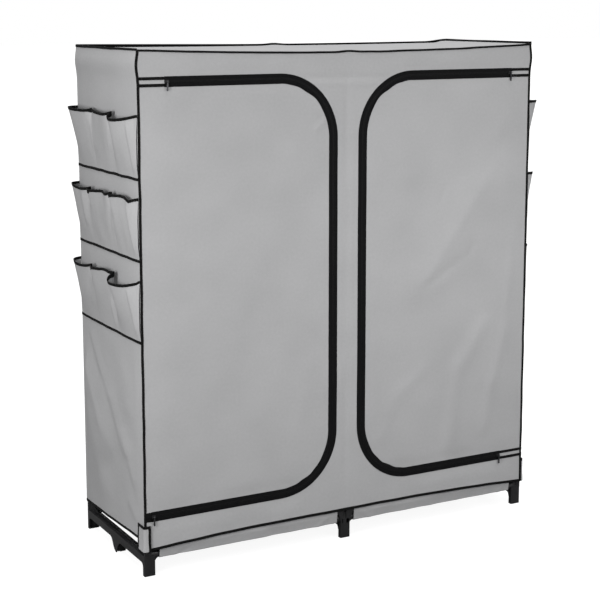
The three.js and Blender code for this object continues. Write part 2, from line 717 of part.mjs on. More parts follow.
// Side pockets: one cloth for each row, gathered into lobes that stand off the side and droop at the mouth
const ROW_NAMES = ["upper", "middle", "lower"];
const POCKETS_IN_ROW = POCKET_STANDS.left[0].length;
const pocketReach = HALF_DEPTH - POCKET_INSET;
const pocketWidth = (2 * pocketReach) / POCKETS_IN_ROW;

// Places along a lobe are closer together at its seams, where the cloth turns most
function pocketPoint(stands, top, u, v) {
  const lobe = Math.min(Math.floor(u * POCKETS_IN_ROW), POCKETS_IN_ROW - 1);
  const along_share = (1 - Math.cos(Math.PI * (u * POCKETS_IN_ROW - lobe))) / 2;
  const swell_share = Math.sin(Math.PI * along_share);
  const mouth = (stands[lobe] - SEAT - CLOTH) * v ** TAPER_POWER_SHARE;
  const belly = POCKET_BULGE * Math.sin(Math.PI * v);
  return {
    out: SEAT + Math.max(swell_share, 0) ** LOBE_POWER_SHARE * (mouth + belly),
    y: -pocketReach + pocketWidth * (lobe + along_share),
    z: top - POCKET_HEIGHT * (1 - v) - MOUTH_DROOP * swell_share ** 2 * v ** 2,
  };
}

for (const { name, sign } of SIDES)
  POCKET_DROPS.forEach((drop, i) => {
    const surface = (extra) => (u, v) => {
      const { out, y, z } = pocketPoint(POCKET_STANDS[name][i], BODY_HEIGHT - drop, u, v);
      return [sign * (HALF_WIDTH + out + extra), y, z];
    };
    const row = sheet(POCKETS_IN_ROW * LOBE_STEPS, POCKET_STEPS, surface(CLOTH), surface(0));
    place(cover, `pocket_row_${name}_${ROW_NAMES[i]}`, row, CLOTH_GREY);
  });

// Cloth that hangs behind the front hem and turns up round each front base rail
function wrapSurface(sign, radius, face) {
  const x0 = SOCKET_REACH + SEAT;
  const x1 = POST_X - SOCKET_REACH - SEAT;
  const arc = steps(WRAP_STEPS).map((share) => [
    -POST_Y - radius * Math.cos(Math.PI * share),
    BASE_RAIL_HEIGHT - radius * Math.sin(Math.PI * share),
  ]);
  const profile = [
    [face, FRONT_HEM + WRAP_LAP],
    [face, FRONT_HEM - WRAP_FOLD_DROP],
    ...arc,
    [-POST_Y + radius, BASE_RAIL_HEIGHT + WRAP_REAR_RISE],
  ];
  return (u, v) => {
    const [y, z] = profile[Math.round(v * (profile.length - 1))];
    return [sign * between(x0, x1, u), y, z];
  };
}
for (const { name, sign } of SIDES) {
  const radius = TUBE_RADIUS + SEAT;
  const face = FRONT_INSIDE + SEAT;
  const outer = wrapSurface(sign, radius + CLOTH, face);
  const inner = wrapSurface(sign, radius, face + CLOTH);
  place(cover, `front_rail_wrap_${name}`, sheet(1, WRAP_STEPS + 3, outer, inner), CLOTH_GREY);
}

// Flaps folded round the front corners, over the edge binding
for (const { name, sign } of SIDES) {
  const x = sign * (HALF_WIDTH + FLAP_OUT);
  const y = -HALF_DEPTH - FLAP_OUT;
  const outerX = x + sign * CLOTH;
  const outerY = y - CLOTH;
  const low = frontHem(HALF_WIDTH) + FLAP_RISE;
  const high = low + FLAP_HEIGHT;
  const flap = join([
    block([sign * (HALF_WIDTH - FLAP_FRONT), outerY, low], [outerX, y, high]),
    block([x, outerY, low], [outerX, -HALF_DEPTH + FLAP_SIDE, high]),
  ]);
  place(cover, `corner_flap_${name}`, geometryOf(flap), CLOTH_GREY);
}

// Edge binding: the sewn tape round the top, down the corners and along the hems, in one run
const trimX = HALF_WIDTH + TRIM_OUT;
const trimY = HALF_DEPTH + TRIM_OUT;
const trimLap = BINDING_WIDTH / 2;

// A thin strip across the front or back between two heights that change along it
function acrossTrim(sign, low, high, reach) {
  const face = (y) => (u, v) => {
    const x = between(trimLap - trimX, trimX - trimLap, u);
    return [x, sign * y, v ? high(x) : low(x)];
  };
  return sheet(HEM_STEPS, 1, face(trimY), face(trimY - reach));
}

// A thin strip along the lower edge of a side
function sideTrim(sign) {
  const face = (x) => (u, v) => {
    const y = between(trimLap - trimY, trimY - trimLap, u);
    return [sign * x, y, sideHem(y) + v * BINDING_WIDTH];
  };
  return sheet(HEM_STEPS / 2, 1, face(trimX), face(trimX - BINDING));
}

// The folded strip down one corner
function cornerTrim(side, end) {
  const x = side * trimX;
  const y = end * trimY;
  const lowAcross = end < 0 ? frontHem(trimX) : BACK_HEM;
  const lowAlong = Math.min(sideHem(y), sideHem(y - end * BINDING_WIDTH));
  return [
    block([x, y, lowAcross], [x - side * BINDING_WIDTH, y - end * BINDING, BODY_HEIGHT]),
    block([x, y, lowAlong], [x - side * BINDING, y - end * BINDING_WIDTH, BODY_HEIGHT]),
  ];
}

// The two thin edges that carry the line of a zip on from its end to the corner
function zipTrim({ name, sign }, run, edge, inward) {
  const x0 = sign * (chainEnds(name)[run] + SEAT);
  const x1 = sign * (trimX - trimLap);
  return [0, ZIP_WIDTH - BINDING_WIDTH].map((inset) => {
    const z = edge + inward * inset;
    return block([x0, -trimY, z], [x1, -trimY + BINDING, z + inward * BINDING_WIDTH]);
  });
}

const trimTop = (x) => coverTop(x) + TRIM_OUT;
const trims = [
  ...ENDS.flatMap(({ sign }) => [
    acrossTrim(sign, (x) => coverTop(x) - BINDING_WIDTH, trimTop, BINDING),
    acrossTrim(sign, (x) => coverTop(x) + SEAT, trimTop, BINDING_WIDTH),
  ]),
  acrossTrim(-1, frontHem, (x) => frontHem(x) + BINDING_WIDTH, BINDING),
  block([-trimX, trimY, BACK_HEM], [trimX, trimY - BINDING, BACK_HEM + BINDING_WIDTH]),
];
for (const side of SIDES) {
  const x = side.sign * trimX;
  const topLow = CROWN - BINDING_WIDTH;
  trims.push(
    block([x, -trimY, topLow], [x - side.sign * BINDING, trimY, BODY_HEIGHT]),
    block([x, -trimY, CROWN + SEAT], [x - side.sign * BINDING_WIDTH, trimY, BODY_HEIGHT]),
    sideTrim(side.sign),
    ...ENDS.flatMap((end) => cornerTrim(side.sign, end.sign)),
    ...zipTrim(side, "top", ZIP_TOP, -1),
    ...zipTrim(side, "bottom", ZIP_BOTTOM, 1),
  );
}
place(cover, "edge_binding", geometryOf(join(trims)), BINDING_BLACK);

export default wardrobe;
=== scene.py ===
# %% [markdown]
# # A portable fabric wardrobe
# A frame of push-fit steel tubes stands on three moulded supports, and a grey cloth cover hangs over it.
# Two doors are cut in the front as Ds and closed with zips, and both sides carry three rows of pockets.
# The CAD model holds every size, so this script loads it first and dresses it piece by piece.

# %% Load the CAD model
import json
import math

import bmesh
import bpy
import numpy as np
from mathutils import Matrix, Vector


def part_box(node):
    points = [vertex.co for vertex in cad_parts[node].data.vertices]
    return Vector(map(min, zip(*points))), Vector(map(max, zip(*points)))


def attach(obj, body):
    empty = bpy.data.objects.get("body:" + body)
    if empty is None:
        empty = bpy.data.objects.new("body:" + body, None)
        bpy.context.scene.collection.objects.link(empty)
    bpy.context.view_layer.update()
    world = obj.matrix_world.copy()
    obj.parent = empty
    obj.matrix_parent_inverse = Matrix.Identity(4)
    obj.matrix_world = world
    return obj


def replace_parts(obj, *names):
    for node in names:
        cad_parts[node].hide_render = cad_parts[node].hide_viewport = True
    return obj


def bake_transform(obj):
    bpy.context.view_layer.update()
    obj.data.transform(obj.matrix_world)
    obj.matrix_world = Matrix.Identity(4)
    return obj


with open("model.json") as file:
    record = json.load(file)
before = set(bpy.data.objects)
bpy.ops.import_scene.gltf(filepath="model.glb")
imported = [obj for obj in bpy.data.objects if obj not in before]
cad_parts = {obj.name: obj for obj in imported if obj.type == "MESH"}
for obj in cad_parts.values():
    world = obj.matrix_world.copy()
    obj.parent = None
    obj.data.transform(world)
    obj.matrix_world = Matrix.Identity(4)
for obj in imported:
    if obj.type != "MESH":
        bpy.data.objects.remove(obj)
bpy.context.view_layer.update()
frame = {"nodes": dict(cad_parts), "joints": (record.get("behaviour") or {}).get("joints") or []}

# %% [markdown]
# ## Sizes
# Every place below is worked out from the CAD nodes that the new piece stands for.
# A few sizes that no box shows, such as the radius of a zip's corner, are written here as real sizes.

# %% Sizes of the cover
MM = 0.001


def corners(node):
    """Lowest and highest corner of a CAD node, in metres."""
    return np.array(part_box(node), float)


CLOTH = 1.2 * MM
SEAT = 0.3 * MM
HALF_WIDTH = float(corners("side_panel_right")[1][0])
FRONT = float(corners("front_panel")[0][1])
BACK = float(corners("back_panel")[1][1])
HALF_DEPTH = (BACK - FRONT) / 2
CROWN = float(corners("top_panel")[1][2])
TOP_SAG = CROWN - CLOTH - float(corners("top_panel")[0][2])
CORNER_HEM = float(corners("front_panel")[0][2])
REAR_SIDE_HEM = float(corners("side_panel_left")[0][2]) + 2.5 * MM
BACK_HEM = float(corners("back_panel")[0][2])
# How much higher the front's hem is at its middle than at its corners, and a side's at its front than at its rear
FRONT_HEM_RISE = 16 * MM
SIDE_HEM_RISE = 19 * MM
print(f"cover {2 * HALF_WIDTH:.3f} x {BACK - FRONT:.3f} x {CROWN:.3f} m")

# %% Sizes of the door zips
tape_low, tape_high = corners("zip_tape_cover_right")
ZIP_EDGE = float(tape_low[0]) - SEAT
ZIP_TOP = float(tape_high[2]) + SEAT
ZIP_BOTTOM = float(tape_low[2]) - SEAT
ZIP_RADIUS = 205 * MM
ZIP_WIDTH = 28 * MM
TAPE_WIDTH = 12.5 * MM
SLIDER_PARK = 7 * MM
SIDES = {"left": -1, "right": 1}
ENDS = {"front": -1, "rear": 1}
RUNS = ("top", "bottom")
COVER = "frame_and_cover"
FOLD = {joint["child"]: abs(joint["pos_m"][0]) for joint in frame["joints"]}["door_left"]


def chain_end(side, run):
    """How far from the middle one run of a door's zip ends: a little past its parked slider."""
    low, high = corners(f"zip_slider_{side}_{run}")
    return abs(float(low[0] + high[0]) / 2) + SLIDER_PARK


print("zip ends:", {(side, run): round(chain_end(side, run), 3) for side in SIDES for run in RUNS})

# %% [markdown]
# ## Tools
# A cloth, a tape and a tube are all surfaces of two parameters, so a few small functions make every piece.
# A grid of points becomes faces, and a profile carried along a path becomes a strip.


# %% Arrays of points
def ease(value, low, high):
    """Rises from 0 at low to 1 at high, level at both ends: 3t^2 - 2t^3."""
    t = np.clip((value - low) / (high - low), 0, 1)
    return t * t * (3 - 2 * t)


def unit(vectors):
    """Vectors of length 1 in the same directions."""
    return vectors / np.maximum(np.linalg.norm(vectors, axis=-1, keepdims=True), 1e-12)


def together(*coordinates):
    """Points from arrays of their coordinates, each stretched to the shape of the whole grid."""
    return np.stack(np.broadcast_arrays(*coordinates), -1)


def path_length(points):
    """Distance along a path of points, from 0 at its start."""
    return np.concatenate([[0], np.cumsum(np.linalg.norm(np.diff(points, axis=0), axis=1))])


def resample(places, along, points):
    """Points of a path at new distances, on straight lines between its old ones."""
    return np.stack([np.interp(places, along, column) for column in points.T], -1)


def bar(low, high, back, front, corner):
    """A closed cross-section from low to high and from back to front, with its four corners rounded."""
    turns = np.radians(np.array([[180], [270], [0], [90]]) + (0, 45, 90))
    across = np.array([[low + corner], [high - corner], [high - corner], [low + corner]])
    out = np.array([[back + corner], [back + corner], [front - corner], [front - corner]])
    return together(across + corner * np.cos(turns), out + corner * np.sin(turns)).reshape(-1, 2)


def sweep(path, across, out, profile):
    """A profile carried along a path: each point is path + u times the across direction + v times the out one."""
    across, out = (np.broadcast_to(way, path.shape)[:, None] for way in (across, out))
    return path[:, None] + profile[None, :, :1] * across + profile[None, :, 1:] * out


print("a rounded bar has", len(bar(0, 1, 0, 1, 0.1)), "points")


# %% Meshes from arrays
def grid_faces(rows, columns, closed=False, ring=False):
    """Four-sided faces of a grid; closed joins its last column to its first, and ring its last row."""
    index = np.arange(rows * columns).reshape(rows, columns)
    right = np.roll(index, -1, axis=1)
    if not closed:
        index, right = index[:, :-1], right[:, :-1]
    faces = together(index, right, np.roll(right, -1, axis=0), np.roll(index, -1, axis=0))
    return faces[: rows if ring else rows - 1].reshape(-1, 4)


def face_vectors(points, faces):
    """Normals of four-sided faces, as long as twice their area: the cross product of the diagonals."""
    a, b, c, d = (points[faces[:, i]] for i in range(4))
    return np.cross(c - a, d - b)


def show(name, mesh, finish, body, replaces):
    """Give a mesh a finish and smooth shading, and put it in the scene as a piece that rides on a body."""
    mesh.polygons.foreach_set("use_smooth", np.ones(len(mesh.polygons), bool))
    mesh.materials.clear()
    mesh.materials.append(finish)
    piece = bpy.data.objects.new(name, mesh)
    bpy.context.collection.objects.link(piece)
    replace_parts(piece, *replaces)
    if body:
        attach(piece, body)
    return piece


def add_piece(name, points, faces, finish, body, replaces=(), uv=None):
    """Make one mesh piece, with its UV in metres of its own cloth or tape."""
    mesh = bpy.data.meshes.new(name)
    mesh.from_pydata(points.tolist(), [], faces)
    if uv is not None:
        used = np.empty(len(mesh.loops), np.int32)
        mesh.loops.foreach_get("vertex_index", used)
        layer = mesh.uv_layers.new(name="cut")
        layer.data.foreach_set("uv", uv.reshape(-1, 2)[used].astype(np.float32).ravel())
    return show(name, mesh, finish, body, replaces)


def add_cloth(name, grid, cut, outward, body, replaces, kept=None):
    """A cloth from a grid of points and the places on its cut; kept marks the faces that aren't cut away.

    Edges with one face only are its rim, and stay sharp, so the wall's thin side doesn't shade the cloth.
    """
    points, uv = grid.reshape(-1, 3), cut.reshape(-1, 2)
    faces = grid_faces(*grid.shape[:2])
    if (face_vectors(points, faces) @ np.array(outward, float)).sum() < 0:
        faces = faces[:, ::-1]
    if kept is not None:
        used, index = np.unique(faces[kept(points[faces].mean(axis=1))], return_inverse=True)
        points, uv, faces = points[used], uv[used], index.reshape(-1, 4)
    piece = add_piece(name, points, faces.tolist(), CLOTH_FINISH, body, replaces, uv)
    rim = np.empty(len(piece.data.loops), np.int32)
    piece.data.loops.foreach_get("edge_index", rim)
    sharp = piece.data.attributes.new("sharp_edge", "BOOLEAN", "EDGE")
    sharp.data.foreach_set("value", np.bincount(rim, minlength=len(piece.data.edges)) == 1)
    wall = piece.modifiers.new("thickness", "SOLIDIFY")
    wall.thickness = CLOTH
    wall.offset = -1
    return piece


def add_strip(name, rings, finish, body, replaces=()):
    """A solid strip from rings of points, capped at both ends; its UV is the length along and the way round."""
    rows, columns = rings.shape[:2]
    along = path_length(rings.mean(axis=1))
    around = np.linalg.norm(np.diff(rings, axis=1, append=rings[:, :1]), axis=-1).cumsum(axis=1)
    points = rings.reshape(-1, 3)
    faces = grid_faces(rows, columns, closed=True)
    outwards = points[faces].mean(axis=1) - np.repeat(rings[:-1].mean(axis=1), columns, axis=0)
    last = (rows - 1) * columns
    every = faces.tolist() + [list(range(columns - 1, -1, -1)), list(range(last, last + columns))]
    if (face_vectors(points, faces) * outwards).sum() < 0:
        every = [face[::-1] for face in every]
    return add_piece(name, points, every, finish, body, replaces, together(along[:, None], around))


def add_binding(name, rings):
    """A strip of binding tape on the cover."""
    return add_strip(name, rings, BINDING_FINISH, COVER)


print("one grid of 3 x 4 points has", len(grid_faces(3, 4)), "faces")

# %% [markdown]
# ## Camera
# The camera stands to the left of the front, a little above the wardrobe's top, and looks slightly down.
# A long lens keeps the upright edges nearly parallel. The lens is shifted down by about a tenth of the view's
# height, which leaves room for the feet without tilting the camera any further.

# %% Camera
CAMERA_PLACE = (-2.366, -4.258, 1.748)
CAMERA_YAW = 0.5009
CAMERA_PITCH = -0.1544
camera_data = bpy.data.cameras.new("camera")
camera_data.lens = 87.5
camera_data.sensor_width = 36
camera_data.shift_y = -0.11
camera = bpy.data.objects.new("camera", camera_data)
camera.location = CAMERA_PLACE
camera.rotation_euler = (math.pi / 2 + CAMERA_PITCH, 0, -CAMERA_YAW)
bpy.context.collection.objects.link(camera)
bpy.context.scene.camera = camera
bpy.context.scene.view_settings.view_transform = "Standard"
print("camera", CAMERA_PLACE)


# %% [markdown]
# ## Materials
# Each finish is built from what the real stuff is and how it was made. Patterns read the piece's own UV,
# which is in metres of cloth or tape, so one size in millimetres fits every piece.


# %% Colours and nodes
def colour(code):
    """An sRGB hex value as linear red, green, blue and alpha."""
    parts = [int(code[i : i + 2], 16) / 255 for i in (1, 3, 5)]
    return [p / 12.92 if p <= 0.04045 else ((p + 0.055) / 1.055) ** 2.4 for p in parts] + [1]


def node(finish, kind, inputs=(), **settings):
    """Add a node: settings are its own attributes, and inputs pairs of a socket with a value or an output."""
    made = finish.node_tree.nodes.new(kind)
    for name, value in settings.items():
        setattr(made, name, value)
    for socket, value in dict(inputs).items():
        if isinstance(value, bpy.types.NodeSocket):
            finish.node_tree.links.new(value, made.inputs[socket])
        else:
            made.inputs[socket].default_value = value
    return made


def new_finish(name, roughness, metallic=0.0, **shader_sockets):
    """A material with one Principled shader, whose even values are set on its own sockets."""
    finish = bpy.data.materials.new(name)
    finish.use_nodes = True
    shader = finish.node_tree.nodes["Principled BSDF"]
    for socket, value in {"Roughness": roughness, "Metallic": metallic, **shader_sockets}.items():
        shader.inputs[socket.replace("_", " ")].default_value = value
    return finish, shader


def blotches(finish, places, size, detail=2.0):
    """Noise whose blotches are about size across, in metres."""
    return node(finish, "ShaderNodeTexNoise", {"Vector": places, "Scale": 1 / size, "Detail": detail}).outputs[0]


def paint(finish, shader, share, *codes):
    """Colour a finish by a share: the first sRGB value up to 0.3, the second from 0.7, and a blend between."""
    ramp = node(finish, "ShaderNodeValToRGB", {0: share})
    for stop, position, code in zip(ramp.color_ramp.elements, (0.3, 0.7), codes):
        stop.position = position
        stop.color = colour(code)
    finish.node_tree.links.new(ramp.outputs[0], shader.inputs["Base Color"])


def raise_surface(finish, shader, layers):
    """Bump from layers of height, each a pair of an output and its depth in metres, one on the other."""
    below = {}
    for height, depth in layers:
        bump = node(finish, "ShaderNodeBump", {"Height": height, "Distance": depth, "Strength": 1.0, **below})
        below = {"Normal": bump.outputs[0]}
    finish.node_tree.links.new(below["Normal"], shader.inputs["Normal"])


print("mid grey in linear:", round(colour("#808080")[0], 3))


# %% [markdown]
# ### Grey cloth
# The cover is spunbond polypropylene: fine plastic fibres laid at random and welded together by a hot roller
# with small raised points. The eye gets a dull, slightly cloudy grey with a faint dotted emboss.
# Real points are 1 mm apart, too fine to show, so they are drawn 5 mm apart and very shallow.

# %% Spunbond cloth
EMBOSS_PITCH = 5 * MM
FIBRE_CLOUD = 9 * MM
WIDE_CLOUD = 160 * MM
WRINKLE = 45 * MM


def spunbond(name, *codes):
    """Cloudy welded fibres, a lattice of weld points and shallow wrinkles from handling."""
    finish, shader = new_finish(name, 0.92, Specular_IOR_Level=0.0, Sheen_Weight=0.02, Sheen_Roughness=0.6)
    places = node(finish, "ShaderNodeUVMap", uv_map="cut").outputs[0]
    fibres = blotches(finish, places, FIBRE_CLOUD, 4)
    clouds = blotches(finish, places, WIDE_CLOUD, 1)
    both = node(finish, "ShaderNodeMath", {0: fibres, 1: clouds}, operation="ADD").outputs[0]
    paint(finish, shader, node(finish, "ShaderNodeMath", {0: both, 1: 0.5}, operation="MULTIPLY").outputs[0], *codes)
    grid = {"Vector": places, "Scale": 1 / EMBOSS_PITCH, "Randomness": 0.0}
    lattice = node(finish, "ShaderNodeTexVoronoi", grid, voronoi_dimensions="2D").outputs[0]
    welds = {0: lattice, 1: 0.15, 2: 0.4}
    points = node(finish, "ShaderNodeMapRange", welds, interpolation_type="SMOOTHSTEP").outputs[0]
    wrinkles = blotches(finish, places, WRINKLE, 3)
    raise_surface(finish, shader, [(wrinkles, 0.8 * MM), (points, 0.05 * MM), (fibres, 0.06 * MM)])
    return finish


CLOTH_FINISH = spunbond("spunbond_polypropylene", "#A5A5A6", "#ADADAE")
print("weld points every", EMBOSS_PITCH / MM, "mm")


# %% [markdown]
# ### Black tapes
# The bindings are woven polypropylene and the zip tapes woven polyester. Both have ribs across their length,
# which the eye gets as a fine dull grain. Real ribs are 0.7 mm apart and are drawn coarser, so that they show.

# %% Woven tapes
RIB_PITCH = 2.2 * MM


def woven_tape(name, roughness, *codes):
    """Ribs across a tape, drawn from its length, with threads of slightly different black."""
    finish, shader = new_finish(name, roughness, Specular_IOR_Level=0.05, Sheen_Weight=0.01, Sheen_Roughness=0.5)
    places = node(finish, "ShaderNodeUVMap", uv_map="cut").outputs[0]
    weave = {"Vector": places, "Scale": 1 / (RIB_PITCH * 20 / math.pi * 0.5), "Distortion": 0.6, "Detail": 1.0}
    ribs = node(finish, "ShaderNodeTexWave", weave).outputs["Fac"]
    threads = blotches(finish, places, 4 * MM, 3)
    paint(finish, shader, threads, *codes)
    raise_surface(finish, shader, [(ribs, 0.25 * MM), (threads, 0.15 * MM)])
    return finish


BINDING_FINISH = woven_tape("woven_polypropylene_binding", 0.85, "#0E0E0E", "#171717")
TAPE_FINISH = woven_tape("woven_polyester_zip_tape", 0.75, "#0B0B0C", "#141415")
print("ribs every", RIB_PITCH / MM, "mm")


# %% [markdown]
# ### Hard finishes
# The supports are injection-moulded polypropylene from a spark-eroded tool, which leaves a fine even grain.
# The tubes are steel under baked powder, with a slight orange peel. The zip teeth are a coiled nylon
# thread, the sliders painted zinc castings and the pulls plated ones.

# %% Plastic, powder and metal
def grained(name, codes, roughness, grain, depth, **shader_sockets):
    """A hard surface with a fine grain in mm, whose colour and gloss vary a little from place to place."""
    finish, shader = new_finish(name, roughness, **shader_sockets)
    places = node(finish, "ShaderNodeTexCoord").outputs["Object"]
    patches = blotches(finish, places, 40 * MM, 3)
    paint(finish, shader, patches, *codes)
    worn = node(finish, "ShaderNodeMapRange", {0: patches, 3: roughness - 0.06, 4: roughness + 0.06}).outputs[0]
    finish.node_tree.links.new(worn, shader.inputs["Roughness"])
    raise_surface(finish, shader, [(blotches(finish, places, grain * MM, 2), depth * MM)])
    return finish


DULL = {"Specular_IOR_Level": 0.3}
MOULDED_FINISH = grained("moulded_polypropylene", ("#171718", "#1F1F20"), 0.42, 1.5, 0.06, **DULL)
POWDER_FINISH = grained("powder_coated_steel", ("#19191A", "#222223"), 0.38, 3, 0.05)
NYLON_FINISH = grained("nylon_coil", ("#0A0A0B", "#0E0E0F"), 0.55, 2, 0.03, Specular_IOR_Level=0.08)
SLIDER_FINISH = grained("painted_zinc_casting", ("#141415", "#1C1C1D"), 0.4, 2, 0.03, **DULL)
PULL_FINISH = grained("plated_zinc_casting", ("#3C3C3E", "#4C4C4E"), 0.4, 2, 0.02, metallic=1.0)
print("finishes:", len(bpy.data.materials))

# %% [markdown]
# ## Light and floor
# The real one stands in a studio. A wide lamp overhead makes the top lightest. A soft box to the left of the
# front lights the left side most near the front, and a weaker one stands before the front. Two more boxes light
# the right side and the back, for views from there, and don't reach the front.
# What the camera sees of the sky is white. The floor is pale, and part of its white is its own light to the
# camera, so that shadows on it stay faint and it throws little light up at the cloth.

# %% Light
SKY_LEVEL = 0.08
BOX_WIDTH = 0.8
# Each lamp's name, kind, place, strength and spread, which is an angle for the sun and a width for a box
LAMPS = [
    ("soft_sun", "SUN", (0.0, -0.09, 0.99 + CROWN / 2), 3.8, math.radians(50)),
    ("soft_box_0", "AREA", (-2.35, -1.35, 1.4), 40, BOX_WIDTH),
    ("soft_box_1", "AREA", (0.6, -1.8, 1.15), 15, BOX_WIDTH),
    ("soft_box_2", "AREA", (2.6, 0.5, 1.4), 22, BOX_WIDTH),
    ("soft_box_3", "AREA", (0.0, 2.6, 1.5), 36, BOX_WIDTH),
]
sky = bpy.data.worlds.new("studio")
sky.use_nodes = True
bpy.context.scene.world = sky
background = sky.node_tree.nodes["Background"]
rays = node(sky, "ShaderNodeLightPath").outputs
seen = rays["Is Camera Ray"]
for kind in ("Is Glossy Ray", "Is Transmission Ray"):
    seen = node(sky, "ShaderNodeMath", {0: seen, 1: rays[kind]}, operation="MAXIMUM").outputs[0]
level = node(sky, "ShaderNodeMapRange", {0: seen, 3: SKY_LEVEL, 4: 1.0}).outputs[0]
sky.node_tree.links.new(level, background.inputs["Strength"])
background.inputs["Color"].default_value = (1, 1, 1, 1)
for name, kind, place, strength, spread in LAMPS:
    lamp_data = bpy.data.lights.new(name, kind)
    lamp_data.energy = strength
    setattr(lamp_data, "angle" if kind == "SUN" else "size", spread)
    lamp = bpy.data.objects.new(name, lamp_data)
    lamp.location = place
    aim_x, aim_y, aim_z = np.array(place) - (0, 0, CROWN / 2)
    lamp.rotation_euler = (math.atan2(math.hypot(aim_x, aim_y), aim_z), 0, math.atan2(aim_x, -aim_y))
    lamp.visible_camera = kind == "SUN"
    bpy.context.collection.objects.link(lamp)
print("sky", SKY_LEVEL, "lamps", len(LAMPS))

# %% Floor
FLOOR_REACH = 60.0
FLOOR_GLOW = 0.92
floor_finish, floor_shader = new_finish("painted_floor", 0.9)
floor_shader.inputs["Base Color"].default_value = colour("#646464")
floor_shader.inputs["Emission Color"].default_value = (1, 1, 1, 1)
seen = node(floor_finish, "ShaderNodeLightPath").outputs["Is Camera Ray"]
glow = node(floor_finish, "ShaderNodeMath", {0: seen, 1: FLOOR_GLOW}, operation="MULTIPLY").outputs[0]
floor_finish.node_tree.links.new(glow, floor_shader.inputs["Emission Strength"])
floor_mesh = bpy.data.meshes.new("floor")
floor_plan = [(-1, -1), (1, -1), (1, 1), (-1, 1)]
floor_mesh.from_pydata([(x * FLOOR_REACH, y * FLOOR_REACH, 0) for x, y in floor_plan], [], [(0, 1, 2, 3)])
floor_mesh.materials.append(floor_finish)
floor = bpy.data.objects.new("floor", floor_mesh)
bpy.context.collection.objects.link(floor)
print("floor", 2 * FLOOR_REACH, "m across")

# %% [markdown]
# ## The cover's surfaces
# The panels of the cover are almost flat, but hung cloth never is: it swells between the tubes and
# carries creases from the box it came in. Each panel is a flat place plus a height of folds, so everything sewn to
# it (tapes, bindings, pockets) can follow the same surface.


# %% Folds
def swells(a, b, size, seed, count=6):
    """Gentle unevenness between -1 and 1: the mean of sine waves of about one length, in seeded directions."""
    draw = np.random.default_rng(seed)
    total = 0
    for turn, phase, stretch in draw.uniform((0, 0, 0.7), (2 * np.pi, 2 * np.pi, 1.5), (count, 3)):
        wave = 2 * np.pi / (size * stretch)
        total = total + np.sin(wave * (a * np.cos(turn) + b * np.sin(turn)) + phase)
    return total / count


def creases(a, b, table):
    """Height of creases given in mm as (a0, b0, a1, b1, width, rise): a bell-shaped ridge along each line.

    A seventh value is the width of the flank that lies to the left when looking along the line, if it differs.
    """
    height = np.zeros(np.broadcast(a, b).shape)
    for row in table:
        a0, b0, a1, b1, width, rise, left = np.array([*row, row[4]][:7]) * MM
        run_a, run_b = a1 - a0, b1 - b0
        run = math.hypot(run_a, run_b)
        along = ((a - a0) * run_a + (b - b0) * run_b) / run**2
        off = ((a - a0) * run_b - (b - b0) * run_a) / run
        flank = np.where(off < 0, left, width)
        height = height + rise * ease(along * (1 - along), 0, 0.2) * np.exp(-((off / flank) ** 2))
    return height


# The supports' ends push the cover out by this much at this height, over this reach up and down and inwards
SHOULDER = 6 * MM
SHOULDER_PLACE = 1.578
SHOULDER_REACH = 34 * MM
CORNER_BAND = 120 * MM
# The top edge: its lift over the middle post, how far it hangs at the rear, and how deep the top is sewn in there
POST_BUMP = 3 * MM
POST_BUMP_REACH = 30 * MM
REAR_SAG = 3 * MM
REAR_SEAM = 6 * MM
# A seam holds the cloth flat up to this distance, and it swells freely at the distance for each kind of edge
SEAM_HOLD = 4 * MM
CORNER_FREE = 100 * MM
TOP_FREE = 60 * MM
SIDE_FREE = 50 * MM
# A zip's straight run holds the cloth flat in this band; its hold starts and is full so far inside the bend's end
ZIP_HOLD = 30 * MM
ZIP_HOLD_START = 120 * MM
ZIP_HOLD_FULL = 20 * MM


def shoulder(z):
    """How far the ends of the top supports push the cover's sides out, most just below the top edge."""
    return SHOULDER * np.exp(-(((z - SHOULDER_PLACE) / SHOULDER_REACH) ** 2))


def widened(x, z):
    """Places across the front or the back, moved out near the corners by the shoulders."""
    return x + np.sign(x) * shoulder(z) * ease(np.abs(x), HALF_WIDTH - CORNER_BAND, HALF_WIDTH)


def front_hem(x):
    """Lower edge of the front cloth, lowest at both corners."""
    return CORNER_HEM + FRONT_HEM_RISE * (1 - np.minimum(np.abs(x / HALF_WIDTH), 1) ** 3)


def side_hem(y):
    """Lower edge of a side cloth, which falls evenly towards the back."""
    return REAR_SIDE_HEM + SIDE_HEM_RISE * (BACK - np.clip(y, FRONT, BACK)) / (BACK - FRONT)


def top_line(x, y=FRONT):
    """Height of the cover's top edge: it hangs between the corners, most at the front, where the doors pull it
    down, and the middle post lifts it a little."""
    sag = TOP_SAG + (REAR_SAG - TOP_SAG) * ease(y, FRONT, BACK)
    hang = sag * (1 - np.minimum(np.abs(x / HALF_WIDTH), 1) ** 2)
    return CROWN - hang + POST_BUMP * np.exp(-((x / POST_BUMP_REACH) ** 2))


def freedom(x, z, y=FRONT):
    """How freely the front or the back swells: not at all at its corners and its top edge, and fully inside."""
    return ease(HALF_WIDTH - np.abs(x), SEAM_HOLD, CORNER_FREE) * ease(top_line(x, y) - z, SEAM_HOLD, TOP_FREE)


